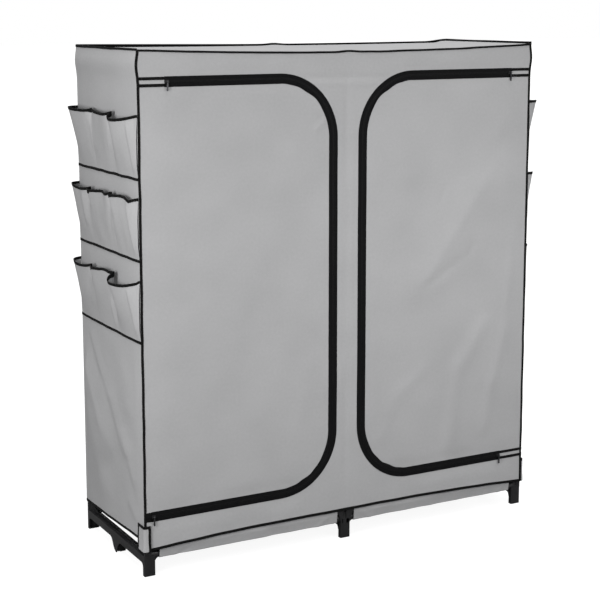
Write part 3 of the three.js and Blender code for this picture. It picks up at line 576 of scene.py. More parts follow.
# Creases of the front as (x, z, x, z, width, rise in mm), chosen from how the cloth hangs
FRONT_CREASES = [
    (-5, 1610, -6, 1100, 11, -1.5), (-4, 1150, -8, 620, 12, -1), (-6, 640, -5, 120, 11, -1.3),
    (22, 1500, 12, 700, 5, 0.7), (-240, 1531, 200, 1524, 8, -1.1), (-180, 1512, 160, 1506, 10, 0.8),
    (-130, 1355, -70, 1408, 10, 1.4), (-160, 1470, -100, 1400, 10, 1), (230, 740, 640, 1290, 90, 5.5),
    (250, 770, 600, 1250, 22, 1.3), (260, 800, 470, 920, 18, -1.2), (405, 220, 440, 580, 30, 3),
    (425, 500, 570, 710, 34, 3), (550, 260, 585, 500, 22, 1.9), (575, 420, 655, 720, 24, 2),
    (630, 660, 690, 1120, 18, 1.6), (120, 280, 190, 490, 30, 1.5), (175, 450, 330, 560, 26, 1.3),
    (355, 1100, 380, 1160, 10, -0.9), (470, 900, 500, 970, 13, -1.2), (90, 1420, 260, 1140, 60, 2.4),
    (400, 1440, 620, 1300, 60, 2.2), (-600, 1360, -360, 760, 80, 2), (-240, 1000, -460, 360, 70, -2),
    (-120, 700, -200, 340, 35, 1.2),
]


def front_folds(x, z):
    """Height of the front's swells and creases, none at the corners, the top edge and the zips' straight runs."""
    run = np.minimum(np.abs(z - ZIP_TOP + ZIP_WIDTH / 2), np.abs(z - ZIP_BOTTOM - ZIP_WIDTH / 2))
    bend_end = ZIP_EDGE + ZIP_RADIUS
    straight = ease(np.abs(x), bend_end - ZIP_HOLD_START, bend_end - ZIP_HOLD_FULL)
    held = (1 - ease(run, ZIP_HOLD / 2, 2 * ZIP_HOLD)) * straight
    waves = 1.6 * MM * swells(x, z, 0.42, 3) + 0.7 * MM * swells(x, z, 0.13, 4)
    return freedom(x, z) * (1 - held) * (waves + 1.2 * MM + creases(x, z, FRONT_CREASES))


def on_front(x, z, proud=0.0):
    """Points of the front, pushed forwards by its folds and by proud, and wider at the shoulders."""
    return together(widened(x, z), FRONT - front_folds(x, z) - proud, z)


print("front swells up to", round(float(front_folds(np.linspace(-0.7, 0.7, 99), 0.8).max()) / MM, 1), "mm")


# %% Side, back and top
# Creases of a side as (y, z, y, z, width, rise, other width in mm), below its pockets
SIDE_CREASES = [
    (200, 720, 55, 550, 40, 3.2, 9), (75, 585, 0, 490, 35, 1.8, 10), (25, 545, -115, 340, 45, 3.2, 14),
    (-95, 400, -190, 260, 40, 2.2, 10), (-90, 440, -125, 340, 30, 2, 20), (250, 640, 20, 280, 75, 9, 90),
    (240, 620, 60, 360, 18, 1.6), (215, 460, 50, 140, 50, 4, 60), (-60, 740, -160, 460, 50, 3),
    (-120, 220, -210, 160, 30, 2, 12),
]
POST_X, POST_Y = corners("upright_rear_right_upper").mean(axis=0)[:2]
# How deep the top sinks between the tubes, and how far from each post its collar keeps it up
TOP_SLACK = 7 * MM
COLLAR_REACH = 28 * MM


def side_folds(y, z):
    """Height of a side's folds: strong below the pockets, slight behind them, none at the corners."""
    free = ease(HALF_DEPTH - np.abs(y), SEAM_HOLD, SIDE_FREE) * ease(CROWN - z, SEAM_HOLD, SIDE_FREE)
    low = 1 - ease(z, 0.70, 0.80)
    waves = (0.8 + 1.4 * low) * MM * (1 + swells(y, z, 0.3, 8)) + 0.4 * MM * swells(y, z, 0.1, 9)
    return free * (waves + low * creases(y, z, SIDE_CREASES))


def on_side(sign, y, z, proud=0.0):
    """Points of a side, pushed outwards by its folds and by proud."""
    return together(sign * (HALF_WIDTH + side_folds(y, z) + shoulder(z) + proud), y, z)


def on_back(x, z, proud=0.0):
    """Points of the back, pushed backwards by proud and by swells that fade towards its corners and its top."""
    folds = freedom(x, z, BACK) * (2.2 * MM * swells(x, z, 0.5, 21) + 0.7 * MM * swells(x, z, 0.16, 22) + 1.5 * MM)
    return together(widened(x, z), BACK + folds + proud, z)


def on_top(x, y, proud=0.0):
    """Points of the top, which sinks a little in each bay between the tubes and beams that carry it.

    Over the collars at its corners it doesn't sink: 1 - exp(-r^4) of the sink is left at r reaches from a post.
    """
    bay = np.abs(np.sin(np.pi * np.clip(np.abs(x) / POST_X, 0, 1))) ** 0.8
    across = np.clip(np.cos(np.pi * y / 2 / POST_Y), 0, 1) ** 0.6
    sink = bay * across * (TOP_SLACK + 2 * MM * swells(x, y, 0.22, 31))
    sink = sink + REAR_SEAM * (y - FRONT) / (BACK - FRONT) * ease(HALF_WIDTH - np.abs(x), 0, 30 * MM)
    collar = np.hypot(np.abs(x) - POST_X, np.abs(y) - POST_Y) / COLLAR_REACH
    return together(x, y, top_line(x, y) - sink * (1 - np.exp(-(collar**4))) + proud)


print("side folds up to", round(float(side_folds(np.linspace(-0.2, 0.2, 99), 0.4).max()) / MM, 1), "mm")

# %% [markdown]
# ## Panels
# The front is one cloth with two Ds cut out, drawn as a fine grid from which the faces inside each D
# are left out; the zip tapes cover the cut. Each door is the same surface inside its D, on the same rows of
# points, so no seam shows at its fold line, where it goes on as the fixed cloth next to the corner.

# %% Front cloth
COVER_CUT = 6 * MM
CELL = 7 * MM
# Heights that rows are counted from, for the bands above and below the doors and for the side and back cloths
BAND_HEIGHT = 80 * MM
GRID_HEIGHT = 1.5


def zip_depth(places):
    """How far inside the outer edge of the nearer door's D places of the front lie; below 0 they are outside."""
    reach, z = np.abs(places[:, 0]), places[:, 2]
    beyond_x = ZIP_EDGE + ZIP_RADIUS - reach
    beyond_z = np.maximum(z - ZIP_TOP, ZIP_BOTTOM - z) + ZIP_RADIUS
    straight = np.minimum(reach - ZIP_EDGE, ZIP_RADIUS - beyond_z)
    return np.where((beyond_x > 0) & (beyond_z > 0), ZIP_RADIUS - np.hypot(beyond_x, beyond_z), straight)


def lines(*stops, cell=CELL):
    """Even steps of about one cell between each two stops, with every stop kept."""
    runs = [np.linspace(a, b, max(2, math.ceil(abs(b - a) / cell) + 1))[:-1] for a, b in zip(stops, stops[1:])]
    return np.concatenate([*runs, [stops[-1]]])


def shares(tall, cell=CELL):
    """Even shares of the way up something about this tall, one row for each, in steps of about one cell."""
    return lines(0, 1, cell=cell / tall)[:, None]


def kept_on_cover(places):
    """The front keeps what lies outside the Ds, and everything between a fold line and its corner."""
    return (zip_depth(places) < COVER_CUT) | (np.abs(places[:, 0]) > FOLD)


DOOR_LOW, DOOR_HIGH = ZIP_BOTTOM + COVER_CUT, ZIP_TOP - COVER_CUT
door_rows = lines(DOOR_LOW, DOOR_HIGH)
band_rows = shares(BAND_HEIGHT)
edge_x = HALF_WIDTH - SEAT
x = lines(-edge_x, -FOLD, 0, FOLD, edge_x)[None, :]
below = front_hem(x) + band_rows[:-1] * (DOOR_LOW - front_hem(x))
above = DOOR_HIGH + band_rows[1:] * (top_line(x) - DOOR_HIGH)
z = np.concatenate([below, np.broadcast_to(door_rows[:, None], (len(door_rows), x.size)), above])
front_cloth = add_cloth(
    "front_cloth", on_front(x, z), together(x, z), (0, -1, 0), COVER, ["front_panel"], kept_on_cover
)
print(f"front cloth {sum(face.area for face in front_cloth.data.polygons):.2f} m2")

# %% Door cloths
DOOR_CUT = 22 * MM


def hang_door(piece):
    """Bake the placement of a piece of a door into its points."""
    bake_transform(piece)


def kept_on_door(places):
    """A door keeps what lies well inside its D."""
    return zip_depth(places) > DOOR_CUT


for side, sign in SIDES.items():
    x, z = sign * lines(FOLD, ZIP_EDGE + COVER_CUT)[None, :], door_rows[:, None]
    replaced = [f"door_panel_{side}"]
    door = add_cloth(f"door_cloth_{side}", on_front(x, z), together(x, z), (0, -1, 0), None, replaced, kept_on_door)
    hang_door(door)
    print(door.name, len(door.data.polygons), "faces")

# %% Side, back and top cloths
upwards = shares(GRID_HEIGHT)
for side, sign in SIDES.items():
    y = lines(FRONT + CLOTH, BACK - CLOTH)[None, :]
    z = side_hem(y) + upwards * (CROWN - CLOTH - SEAT - side_hem(y))
    replaced = [f"side_panel_{side}"]
    cloth = add_cloth(f"side_cloth_{side}", on_side(sign, y, z), together(y, z), (sign, 0, 0), COVER, replaced)
x = lines(-edge_x, edge_x, cell=2 * CELL)[None, :]
z = BACK_HEM + shares(GRID_HEIGHT, 2 * CELL) * (on_top(x, BACK, -CLOTH)[..., 2] - BACK_HEM)
back_cloth = add_cloth("back_cloth", on_back(x, z), together(x, z), (0, 1, 0), COVER, ["back_panel"])
y = lines(FRONT + SEAT, BACK - SEAT, cell=2 * CELL)[:, None]
top_cloth = add_cloth("top_cloth", on_top(x, y), together(x, y), (0, 0, 1), COVER, ["top_panel"])

# %% [markdown]
# ## Zips
# A coil zip is two tapes with a coiled nylon thread sewn along one edge of each. The tapes are
# flat strips that follow the D, and each coil is a bead whose radius swells and shrinks once a tooth.

# %% Zip path
TAPE_PROUD = 0.35 * MM
TAPE_LAP = 2 * MM
TAPE_STRAY = 4 * MM  # the pucker of a tape's inner edge round the bends
TAPE_STEP = 6 * MM
MIDDLE = ZIP_WIDTH / 2
COVER_TAPE = bar(-TAPE_LAP, MIDDLE - 0.1 * MM, -0.4 * MM, TAPE_PROUD, 0.2 * MM)
DOOR_TAPE = bar(MIDDLE + 0.1 * MM, ZIP_WIDTH + TAPE_LAP, -0.4 * MM, TAPE_PROUD, 0.2 * MM)


def zip_path(side, step):
    """Places along a door's D in even steps, as (distance from the middle, height), the way into the D, and its
    three stretches: before the fold line, across the door, and after the fold line.

    The route is a straight run at the top, a quarter circle, the straight side next to the middle,
    a quarter circle and a straight run at the bottom.
    """
    turn = np.radians(np.linspace(90, 180, 60))
    arc = (ZIP_EDGE + ZIP_RADIUS, ZIP_TOP - ZIP_RADIUS) + ZIP_RADIUS * together(np.cos(turn), np.sin(turn))
    low = together(arc[::-1, 0], ZIP_BOTTOM + ZIP_TOP - arc[::-1, 1])
    ends = [[(chain_end(side, run), height)] for run, height in zip(RUNS, (ZIP_TOP, ZIP_BOTTOM))]
    rough = np.concatenate([ends[0], arc, low, ends[1]])
    along = path_length(rough)
    path = resample(np.linspace(0, along[-1], math.ceil(along[-1] / step) + 1), along, rough)
    forwards = unit(np.gradient(path, axis=0))
    door = np.flatnonzero(path[:, 0] <= FOLD)
    stretches = slice(0, door[0] + 1), slice(door[0], door[-1] + 1), slice(door[-1], len(path))
    return path, together(-forwards[:, 1], forwards[:, 0]), stretches


def on_door(sign, path, inward, inset, proud):
    """Points at an inset from a door's outer edge; inset and proud have a value for each point of a ring."""
    places = path[:, None] + inset[..., None] * inward[:, None]
    return on_front(sign * places[..., 0], places[..., 1], proud)


def add_tape(name, sign, path, inward, profile, body, replaces=()):
    """A strip of zip tape between two insets, lying on the front cloth; round the bends its far edge puckers."""
    bend = np.clip((path[:, :1] - ZIP_EDGE) / ZIP_RADIUS, 0, 1)
    stray = TAPE_STRAY * 4 * bend * (1 - bend) * swells(path[:, :1], path[:, 1:], 0.09, 35)
    inset = profile[None, :, 0] + stray * (profile[None, :, 0] > ZIP_WIDTH - TAPE_WIDTH / 2)
    rings = on_door(sign, path, inward, inset, profile[None, :, 1])
    return add_strip(name, rings, TAPE_FINISH, body, replaces)


print("zip path of", round(path_length(zip_path("left", 10 * MM)[0])[-1], 2), "m")

# %% Coils
TOOTH = 3.2 * MM
RINGS_PER_TOOTH = 4
COIL_WIDE = 2.3 * MM
COIL_NARROW = 1.5 * MM
COIL_HEIGHT = 0.5 * MM
COIL_MIDDLE = (COIL_WIDE + COIL_NARROW) / 2


def add_coil(name, sign, path, inward, inset, late, body):
    """A bead of teeth: an oval section along the path, wide at each tooth and narrow between teeth.

    The door's teeth come half a tooth late, so that each fills a gap between two of the cover's teeth.
    """
    turn = np.radians(np.arange(0, 360, 60))
    tooth = ((np.arange(len(path)) + late) % RINGS_PER_TOOTH < RINGS_PER_TOOTH / 2)[:, None]
    across = inset + np.where(tooth, COIL_WIDE, COIL_NARROW) * np.cos(turn)
    proud = TAPE_PROUD + COIL_HEIGHT * np.where(tooth, 1, 0.75) * (0.3 + 0.7 * np.sin(turn))
    return add_strip(name, on_door(sign, path, inward, across, proud), NYLON_FINISH, body)


for side, sign in SIDES.items():
    path, inward, (before, door, after) = zip_path(side, TAPE_STEP)
    add_tape(f"zip_tape_outer_{side}", sign, path, inward, COVER_TAPE, COVER, [f"zip_tape_cover_{side}"])
    replaced = [f"zip_tape_door_{side}"]
    hang_door(add_tape(f"zip_tape_inner_{side}", sign, path[door], inward[door], DOOR_TAPE, None, replaced))
    for run, part in zip(RUNS, (before, after)):
        add_tape(f"zip_tape_parked_{side}_{run}", sign, path[part], inward[part], DOOR_TAPE, COVER)
    path, inward, (before, door, after) = zip_path(side, TOOTH / RINGS_PER_TOOTH)
    late = RINGS_PER_TOOTH // 2
    add_coil(f"zip_coil_outer_{side}", sign, path, inward, MIDDLE - COIL_MIDDLE, 0, COVER)
    inset, inner = MIDDLE + COIL_MIDDLE, f"zip_coil_inner_{side}"
    hang_door(add_coil(inner, sign, path[door], inward[door], inset, late + door.start, None))
    for run, part in zip(RUNS, (before, after)):
        add_coil(f"zip_coil_parked_{side}_{run}", sign, path[part], inward[part], inset, late + part.start, COVER)

# %% [markdown]
# ## Bindings
# Every raw edge of the cloth is wrapped in a folded black tape. Along a hem it is a flat sleeve over the
# edge; where two panels meet it is folded over the corner, with a leg on each panel.

# %% Hem bindings
BINDING_WIDTH = 9 * MM
BINDING_PROUD = 1.1 * MM
HEM_STRAY = 0.9 * MM  # how far the sewn edge wanders up and down
HEM_SLEEVE = bar(-1 * MM, BINDING_WIDTH - 1 * MM, -CLOTH - 0.8 * MM, BINDING_PROUD, 0.8 * MM)


def add_hem(name, surface, reach, height):
    """A sleeve over the lower edge of a panel: reach runs along it and height is its edge, sewn a bit unevenly."""
    edge = height + HEM_STRAY * swells(reach, 0, 0.16, 33)
    add_binding(name, surface(reach[:, None], edge[:, None] + HEM_SLEEVE[None, :, 0], HEM_SLEEVE[None, :, 1]))


x = lines(-HALF_WIDTH + 2 * MM, HALF_WIDTH - 2 * MM)
add_hem("binding_front_hem", on_front, x, front_hem(x))
add_hem("binding_back_hem", on_back, x, np.full(len(x), BACK_HEM))
y = lines(FRONT + 2 * MM, BACK - 2 * MM)
for side, sign in SIDES.items():
    add_hem(f"binding_side_hem_{side}", lambda y, z, proud: on_side(sign, y, z, proud), y, side_hem(y))
print("hem bindings", BINDING_WIDTH / MM, "mm wide")


# %% Corner and top bindings
# Widths of a folded binding's two legs, on the front and round the corner; the right one is sewn on wider
FRONT_LEGS = {"left": (6.5 * MM, 2.5 * MM), "right": (8.5 * MM, 3.5 * MM)}
TOP_LEGS = (5.5 * MM, 4 * MM)
WOBBLE = 1.2 * MM
FOLD_BEND = 1.2 * MM
# How far the bound seams round the top stand above it and reach down
FIN_RISE = {"rear": 2 * MM, "left": 3 * MM, "right": 7.5 * MM}
FIN_DROP = {"rear": 8 * MM, "left": 4.5 * MM, "right": 6 * MM}
# The rear seam lies lower by a dip, stands higher from its left corner to a place, and rises near its right corner
REAR_DIP = 1.5 * MM
REAR_LEFT_LIFT = 4 * MM
REAR_LIFT_END = 100 * MM
REAR_CORNER = 90 * MM
BACK_TAPE = bar(-9 * MM, -1 * MM, -0.4 * MM, BINDING_PROUD, 0.5 * MM)


def corner_fold(leg, other, proud=BINDING_PROUD):
    """A closed L: two legs from the corner along both panels, proud of them, with a rounded outside."""
    turn = np.radians(np.linspace(270, 180, 5))
    outer = FOLD_BEND + (FOLD_BEND + proud) * together(np.cos(turn), np.sin(turn))
    tip = proud * 0.5
    first = [(leg, 0), (leg, -proud + tip * 0.4), (leg - tip, -proud)]
    last = [(-proud, other - tip), (-proud + tip * 0.4, other), (0, other), (0, 0)]
    return np.concatenate([first, outer, last])


def add_corner(name, path, across, out, legs, seed):
    """A binding folded over the corner that a path follows, with a leg along each of two directions.

    The sewn seam isn't quite straight: the path strays by about a millimetre along both legs.
    """
    along = path_length(path)[:, None]
    across, out = np.array(across, float), np.array(out, float)
    stray = WOBBLE * (swells(along, 0, 0.13, seed) * across + swells(along, 0, 0.09, seed + 1) * out)
    return add_binding(name, sweep(path - np.maximum(stray, -0.3 * MM), across, out, corner_fold(*legs)))


def straight(a, b, cell=12 * MM):
    """Even points from a to b."""
    return a + shares(np.linalg.norm(b - a), cell) * (b - a)


def fin(place):
    """Cross-section of a seam that stands a little above the top cloth."""
    return bar(-FIN_DROP[place], FIN_RISE[place], -2.2 * MM, BINDING_PROUD, 0.8 * MM)


x = lines(-HALF_WIDTH, HALF_WIDTH, cell=2 * CELL)
path = together(x, -HALF_DEPTH, top_line(x))
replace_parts(add_corner("binding_top_front", path, (0, 0, -1), (0, 1, 0), TOP_LEGS, 70), "edge_binding")
# At the sides and the back the bound seam stands up from the edge like a low fin, seen as a line behind the top
rise = (FIN_RISE["right"] - FIN_RISE["rear"] + REAR_DIP) * ease(x, HALF_WIDTH - REAR_CORNER, HALF_WIDTH) - REAR_DIP
rise = rise + REAR_LEFT_LIFT * (1 - ease(x, -HALF_WIDTH, REAR_LIFT_END))
path = together(x, HALF_DEPTH, top_line(x, BACK) + rise)
add_binding("binding_top_rear", sweep(path, (0, 0, 1), (0, 1, 0), fin("rear")))
for number, (side, sign) in enumerate(SIDES.items()):
    corner = np.array((sign * HALF_WIDTH, -HALF_DEPTH, 0))
    path = straight(corner + (0, 0, float(front_hem(HALF_WIDTH))), corner + (0, 0, CROWN))
    path[:, 0] += sign * shoulder(path[:, 2])
    add_corner(f"binding_corner_front_{side}", path, (-sign, 0, 0), (0, 1, 0), FRONT_LEGS[side], 80 + 4 * number)
    z = lines(BACK_HEM, CROWN - REAR_SEAM)[:, None]
    rings = on_back(sign * (HALF_WIDTH + BACK_TAPE[None, :, 0]), z, BACK_TAPE[None, :, 1])
    add_binding(f"binding_corner_rear_{side}", rings)
    path = straight(corner + (0, 0, CROWN), corner + (0, 2 * HALF_DEPTH, CROWN))
    path[:, 0] += sign * shoulder(CROWN - FIN_DROP[side])
    path[:, 2] += WOBBLE * swells(path[:, 1], 0, 0.2, 90 + number)
    add_binding(f"binding_top_{side}", sweep(path, (0, 0, 1), (sign, 0, 0), fin(side)))

# %% Zip end bindings
# From the end of each zip two narrow tapes go on to the corner, in line with the zip's edges
TRIM_WIDTH = 9.5 * MM
TRIM_LAP = 1 * MM
section = bar(0, TRIM_WIDTH, -0.4 * MM, 0.9 * MM, 0.3 * MM)
for side, sign in SIDES.items():
    for run, height, inward in (("top", ZIP_TOP, -1), ("bottom", ZIP_BOTTOM, 1)):
        reach = lines(chain_end(side, run), HALF_WIDTH)[:, None]
        for place, inset in (("outer", -TRIM_LAP), ("inner", ZIP_WIDTH + TRIM_LAP - TRIM_WIDTH)):
            rings = on_front(sign * reach, height + inward * (inset + section[None, :, 0]), section[None, :, 1])
            add_binding(f"binding_zip_{side}_{run}_{place}", rings)
# The lower left zip is sewn in a little longer, so its tapes reach the corner binding
reach = lines(chain_end("left", "bottom") - 1 * MM, HALF_WIDTH - 4 * MM)[:, None]
section = bar(TRIM_WIDTH - 2 * TRIM_LAP, ZIP_WIDTH - TRIM_WIDTH + 2 * TRIM_LAP, -0.4 * MM, 1.3 * MM, 0.3 * MM)
rings = on_front(-reach, ZIP_BOTTOM + section[None, :, 0], section[None, :, 1])
add_strip("zip_tape_end_left_bottom", rings, TAPE_FINISH, COVER)
print("narrow tapes", TRIM_WIDTH / MM, "mm wide")

# %% [markdown]
# ## Pockets
# Each row of pockets is one cloth, gathered into three bags that stand off the side. The mouth is held
# open by its stiff black binding, is pinched where it is sewn down between two bags, and droops between.
# The mouth of each row is a smooth line through a few chosen places, and the cloth below it goes down to the
# straight seam at the foot. Small kinks of the mouth fade within the upper two fifths of the way.


# %% Pocket mouths
def rounded(points, times=3):
    """Cut the corners of a line, a quarter of each side at a time, which makes it smooth but keeps its ends."""
    points = np.asarray(points, float)
    for _ in range(times):
        near = points[:-1] * 0.75 + points[1:] * 0.25
        far = points[:-1] * 0.25 + points[1:] * 0.75
        points = np.concatenate([points[:1], np.stack([near, far], 1).reshape(-1, points.shape[1]), points[-1:]])
    return points


# Places along a left mouth from the front to the rear: depth, stand-off and height above the row's top, in mm
MOUTHS = {
    "upper": [
        (-248, 0, 0), (-242, 3, 0), (-237, 2, -1), (-228, 8, -3), (-205, 15, -8), (-175, 27, -13), (-140, 37, -17),
        (-112, 43, -17), (-98, 42, -11), (-91, 30, -4), (-87, 20, 1), (-82, 16, 2), (-77, 22, 0), (-68, 33, -3),
        (-48, 36, -5), (-15, 30, -6), (25, 25, -5), (60, 22, -3), (80, 17, -1), (86, 14, 2), (92, 22, -1),
        (104, 32, -3), (130, 38, -4), (170, 44, -4), (205, 50, -3), (226, 49, -1), (239, 34, 0), (246, 12, 0),
        (248, 0, 0),
    ],
    "middle": [
        (-248, 0, 0), (-243, 4, -1), (-238, 3, -2), (-232, 13, -4), (-220, 19, -9), (-208, 20, -6), (-190, 20, 0),
        (-160, 22, 2), (-130, 25, 0), (-103, 33, -3), (-93, 35, -5), (-87, 24, -1), (-81, 17, 2), (-74, 20, 1),
        (-62, 30, -3), (-45, 30, -5), (-28, 25, -1), (-10, 23, 1), (25, 24, -3), (60, 29, -6), (84, 33, -8),
        (93, 34, -7), (98, 24, -3), (101, 14, -2), (106, 20, -3), (118, 30, -6), (150, 31, -9), (185, 32, -8),
        (212, 35, -4), (232, 34, -1), (242, 20, 0), (248, 0, 0),
    ],
    "lower": [
        (-248, 0, 0), (-243, 5, -3), (-238, 5, -6), (-230, 12, -9), (-215, 17, -13), (-195, 24, -18),
        (-170, 33, -22), (-145, 41, -23), (-122, 47, -22), (-107, 48, -19), (-98, 44, -11), (-92, 34, -4),
        (-87, 22, 1), (-81, 14, 3), (-74, 16, 2), (-62, 21, 1), (-50, 22, 1), (-25, 23, 5), (0, 24, 3),
        (25, 26, -1), (60, 29, -4), (82, 31, -5), (91, 27, -2), (96, 18, 1), (102, 20, 0), (125, 25, -6),
        (155, 28, -10), (185, 31, -12), (212, 34, -10), (228, 34, -4), (239, 26, -1), (246, 8, 0), (248, 0, 0),
    ],
}
# How much of its mouth's stand-off each row has
STAND_OFF = {
    "left": {"upper": 0.86, "middle": 1.0, "lower": 1.0},
    "right": {"upper": 1.0, "middle": 1.05, "lower": 0.5},
}
MOUTH_STEPS = 280
MOUTH_REACH = 248 * MM  # half the length of the tables above
SEAM_PLACES = (-87 * MM, 87 * MM)
POCKET_REACH = float(corners("pocket_row_left_upper")[1][1]) + 3.5 * MM


def mouth_line(side, row):
    """Even steps along a mouth, as (depth, stand-off, lift) in metres; a right one is its left one mirrored."""
    table = np.array(MOUTHS[row])[:: -SIDES[side]] * (-SIDES[side], 1, 1)
    path = rounded(table * MM) * (POCKET_REACH / MOUTH_REACH, STAND_OFF[side][row], 1)
    along = path_length(path)
    return resample(np.linspace(0, along[-1], MOUTH_STEPS), along, path)


print("mouth of the upper row:", round(float(path_length(mouth_line("right", "upper"))[-1]), 3), "m")

# %% Pocket cloths
POCKET_BELLY = 4 * MM
MOUTH_SLEEVE = bar(-1 * MM, 8 * MM, -CLOTH - 0.9 * MM, 0.9 * MM, 0.8 * MM)
FOOT_TAPE = bar(-5 * MM, 4.5 * MM, -0.2 * MM, 2.4 * MM, 0.7 * MM)
KINK_FADE = (0.6, 1.0)
# At a pinch the binding is sewn down double, and looks wider
PINCH_REACH = 7 * MM
PINCH_EXTRA = 0.8
SMOOTHING = 21
# Sharp folds of the pockets as (depth, share of the way up, depth, share, width, rise, other width): one by each
# row's front end, where the cloth turns back to the side, and two down from the mouth
FRONT_TUCK = (-203, 0.99, -236, 0.0, 30, 5.0, 8)
POCKET_TUCKS = {
    "upper": [(95, 0.95, 80, 0.25, 30, 3.0, 12), (-75, 0.85, -60, 0.35, 30, 2.5, 12)],
    "middle": [(142, 0.95, 146, 0.30, 20, 3.6, 9), (-90, 0.9, -75, 0.30, 30, 2.5, 12)],
    "lower": [(-50, 0.55, -70, 0.02, 25, 3.6, 9), (100, 0.9, 115, 0.2, 30, 2.5, 15)],
}


def pocket_points(side, row, mouth, v, seed):
    """Points of a row of pockets below a mouth, at shares v of the way up.

    The stand-off is the mouth's own times v^1.1 plus a belly of sin(pi v) between the seams. Below the mouth
    a running mean along it takes the place of the mouth, so its kinks don't reach down.
    """
    low, high = corners(f"pocket_row_{side}_{row}")[:, 2]
    tall = high - low
    ends = np.concatenate([np.repeat(mouth[:1], SMOOTHING // 2, 0), mouth, np.repeat(mouth[-1:], SMOOTHING // 2, 0)])
    soft = np.stack([np.convolve(column, np.ones(SMOOTHING) / SMOOTHING, "valid") for column in ends.T], -1)
    seams = [int(np.argmin(np.abs(mouth[:, 0] - place))) for place in SEAM_PLACES]
    stops = [0, *seams, len(mouth) - 1]
    step = np.arange(len(mouth))
    foot = np.interp(step, stops, [-POCKET_REACH, -POCKET_REACH / 3, POCKET_REACH / 3, POCKET_REACH])
    bag = np.sin(np.pi * np.interp(step, np.repeat(stops, 2)[1:-1], [0, 1, 0, 1, 0, 1]))
    kept = ease(v, *KINK_FADE)
    depth, out, lift = (soft[:, i] + (mouth[:, i] - soft[:, i]) * kept for i in range(3))
    y = foot + (depth - foot) * v**1.3
    z = low + tall * v + lift * v**2
    belly = POCKET_BELLY * np.sin(np.pi * v) * bag**0.5
    wrinkles = 1.2 * MM * swells(y, z * 0.5, 0.06, seed) * bag**0.3 * np.clip(4 * v * (1.15 - v), 0, 1)
    table = [(a, b * tall / MM, c, d * tall / MM, *size) for a, b, c, d, *size in [FRONT_TUCK, *POCKET_TUCKS[row]]]
    stand = out * v**1.1 + belly + creases(y, v * tall, table) + wrinkles * ease(out, 0, 0.01)
    return on_side(SIDES[side], y, z, SEAT + CLOTH + np.maximum(stand, 0))


up = np.linspace(0, 1, 27)[:, None]
for number, (side, row) in enumerate((side, row) for side in SIDES for row in MOUTHS):
    sign = SIDES[side]
    mouth = mouth_line(side, row)
    grid = pocket_points(side, row, mouth, up, 40 + number)
    low, high = corners(f"pocket_row_{side}_{row}")[:, 2]
    rim = path_length(grid[-1])
    cut = together(rim[None, :], up * (high - low))
    cloth = add_cloth(f"pocket_cloth_{side}_{row}", grid, cut, (sign, 0, 0), COVER, [f"pocket_row_{side}_{row}"])
    into = unit(grid[-2] - grid[-1])
    out = unit(np.cross(unit(np.gradient(grid[-1], axis=0)), into))
    out = out * np.sign(out[:, 0].mean()) * sign
    doubled = sum(np.exp(-(((mouth[:, 0] - place) / PINCH_REACH) ** 2)) for place in SEAM_PLACES)
    rings = sweep(grid[-1], into * (1 + PINCH_EXTRA * doubled[:, None]), out, MOUTH_SLEEVE)
    sleeve = add_binding(f"binding_mouth_{side}_{row}", rings)
    y = lines(-POCKET_REACH, POCKET_REACH)[:, None]
    foot_z = low + FOOT_TAPE[None, :, 0] + 1.2 * MM * swells(y, 0, 0.1, 60 + number)
    foot = add_binding(f"binding_foot_{side}_{row}", on_side(sign, y, foot_z, FOOT_TAPE[None, :, 1]))

# %% [markdown]
# ## Below the front hem
# A cloth sleeve goes from behind the hem down and round each front base rail, which keeps the cover square.
# At both front corners a small flap is folded round the corner, with its own binding.

# %% Rail wraps
turn = np.radians(np.arange(180, 361, 30))
WRAP_TURN = together(np.cos(turn), np.sin(turn))
WRAP_SQUARE = 0.3  # 1 follows the round rail, 0 is a square fold: the sleeve was pressed flat in its packing
WRAP_LEAN = 4 * MM  # its lower fold hangs this much further forward than the rail's front
# Its front is straight down to the first of these heights above the rail's middle, and its rear ends at the second
WRAP_BEND = 27 * MM
WRAP_END = 11 * MM
# It is slack between two stretches of the way down, where it comes out below the hem and before its lower fold
WRAP_LOOSE = (18 * MM, 30 * MM)
WRAP_TIGHT = (62 * MM, 75 * MM)
# Its creases as (x, way down, x, way down, width, rise in mm)
WRAP_CREASES = [
    (-655, 0, -600, 55, 6, 1.4), (-640, 52, -560, 20, 7, -1), (-330, 10, -280, 55, 12, 0.8),
    (-60, 5, -130, 56, 7, 1.2), (-45, 0, -50, 60, 4, 1), (655, 0, 610, 55, 6, 1.2), (300, 10, 360, 55, 12, 0.8),
    (55, 5, 110, 50, 7, 1.1),
]
for side in SIDES:
    low, high = corners(f"front_rail_wrap_{side}")
    rail_y, rail_z = corners(f"base_rail_front_{side}").mean(axis=0)[1:]
    round_rail = (rail_y, rail_z) + (rail_z - low[2]) * np.sign(WRAP_TURN) * np.abs(WRAP_TURN) ** WRAP_SQUARE
    round_rail[:, 0] -= WRAP_LEAN * (WRAP_TURN[:, 0] < -0.1)
    profile = rounded([(low[1], high[2]), (low[1], rail_z + WRAP_BEND), *round_rail, (high[1], rail_z + WRAP_END)])
    down = path_length(profile)[:, None]
    ahead = unit(np.gradient(profile, axis=0))
    x = lines(low[0], high[0])[None, :]
    slack = ease(down, *WRAP_LOOSE) * (1 - ease(down, *WRAP_TIGHT))
    drop = down - WRAP_LOOSE[0]
    height = slack * (1.2 * MM + 0.9 * MM * swells(x, drop, 0.11, 51) + creases(x, drop, WRAP_CREASES))
    grid = together(x, profile[:, :1] + ahead[:, 1:] * height, profile[:, 1:] - ahead[:, :1] * height)
    replaced = [f"front_rail_wrap_{side}"]
    wrap = add_cloth(f"rail_wrap_{side}", grid, together(x, down), (0, -1, 0), COVER, replaced)
print("rail wraps go", round(float(down[-1, 0]), 3), "m down and round")


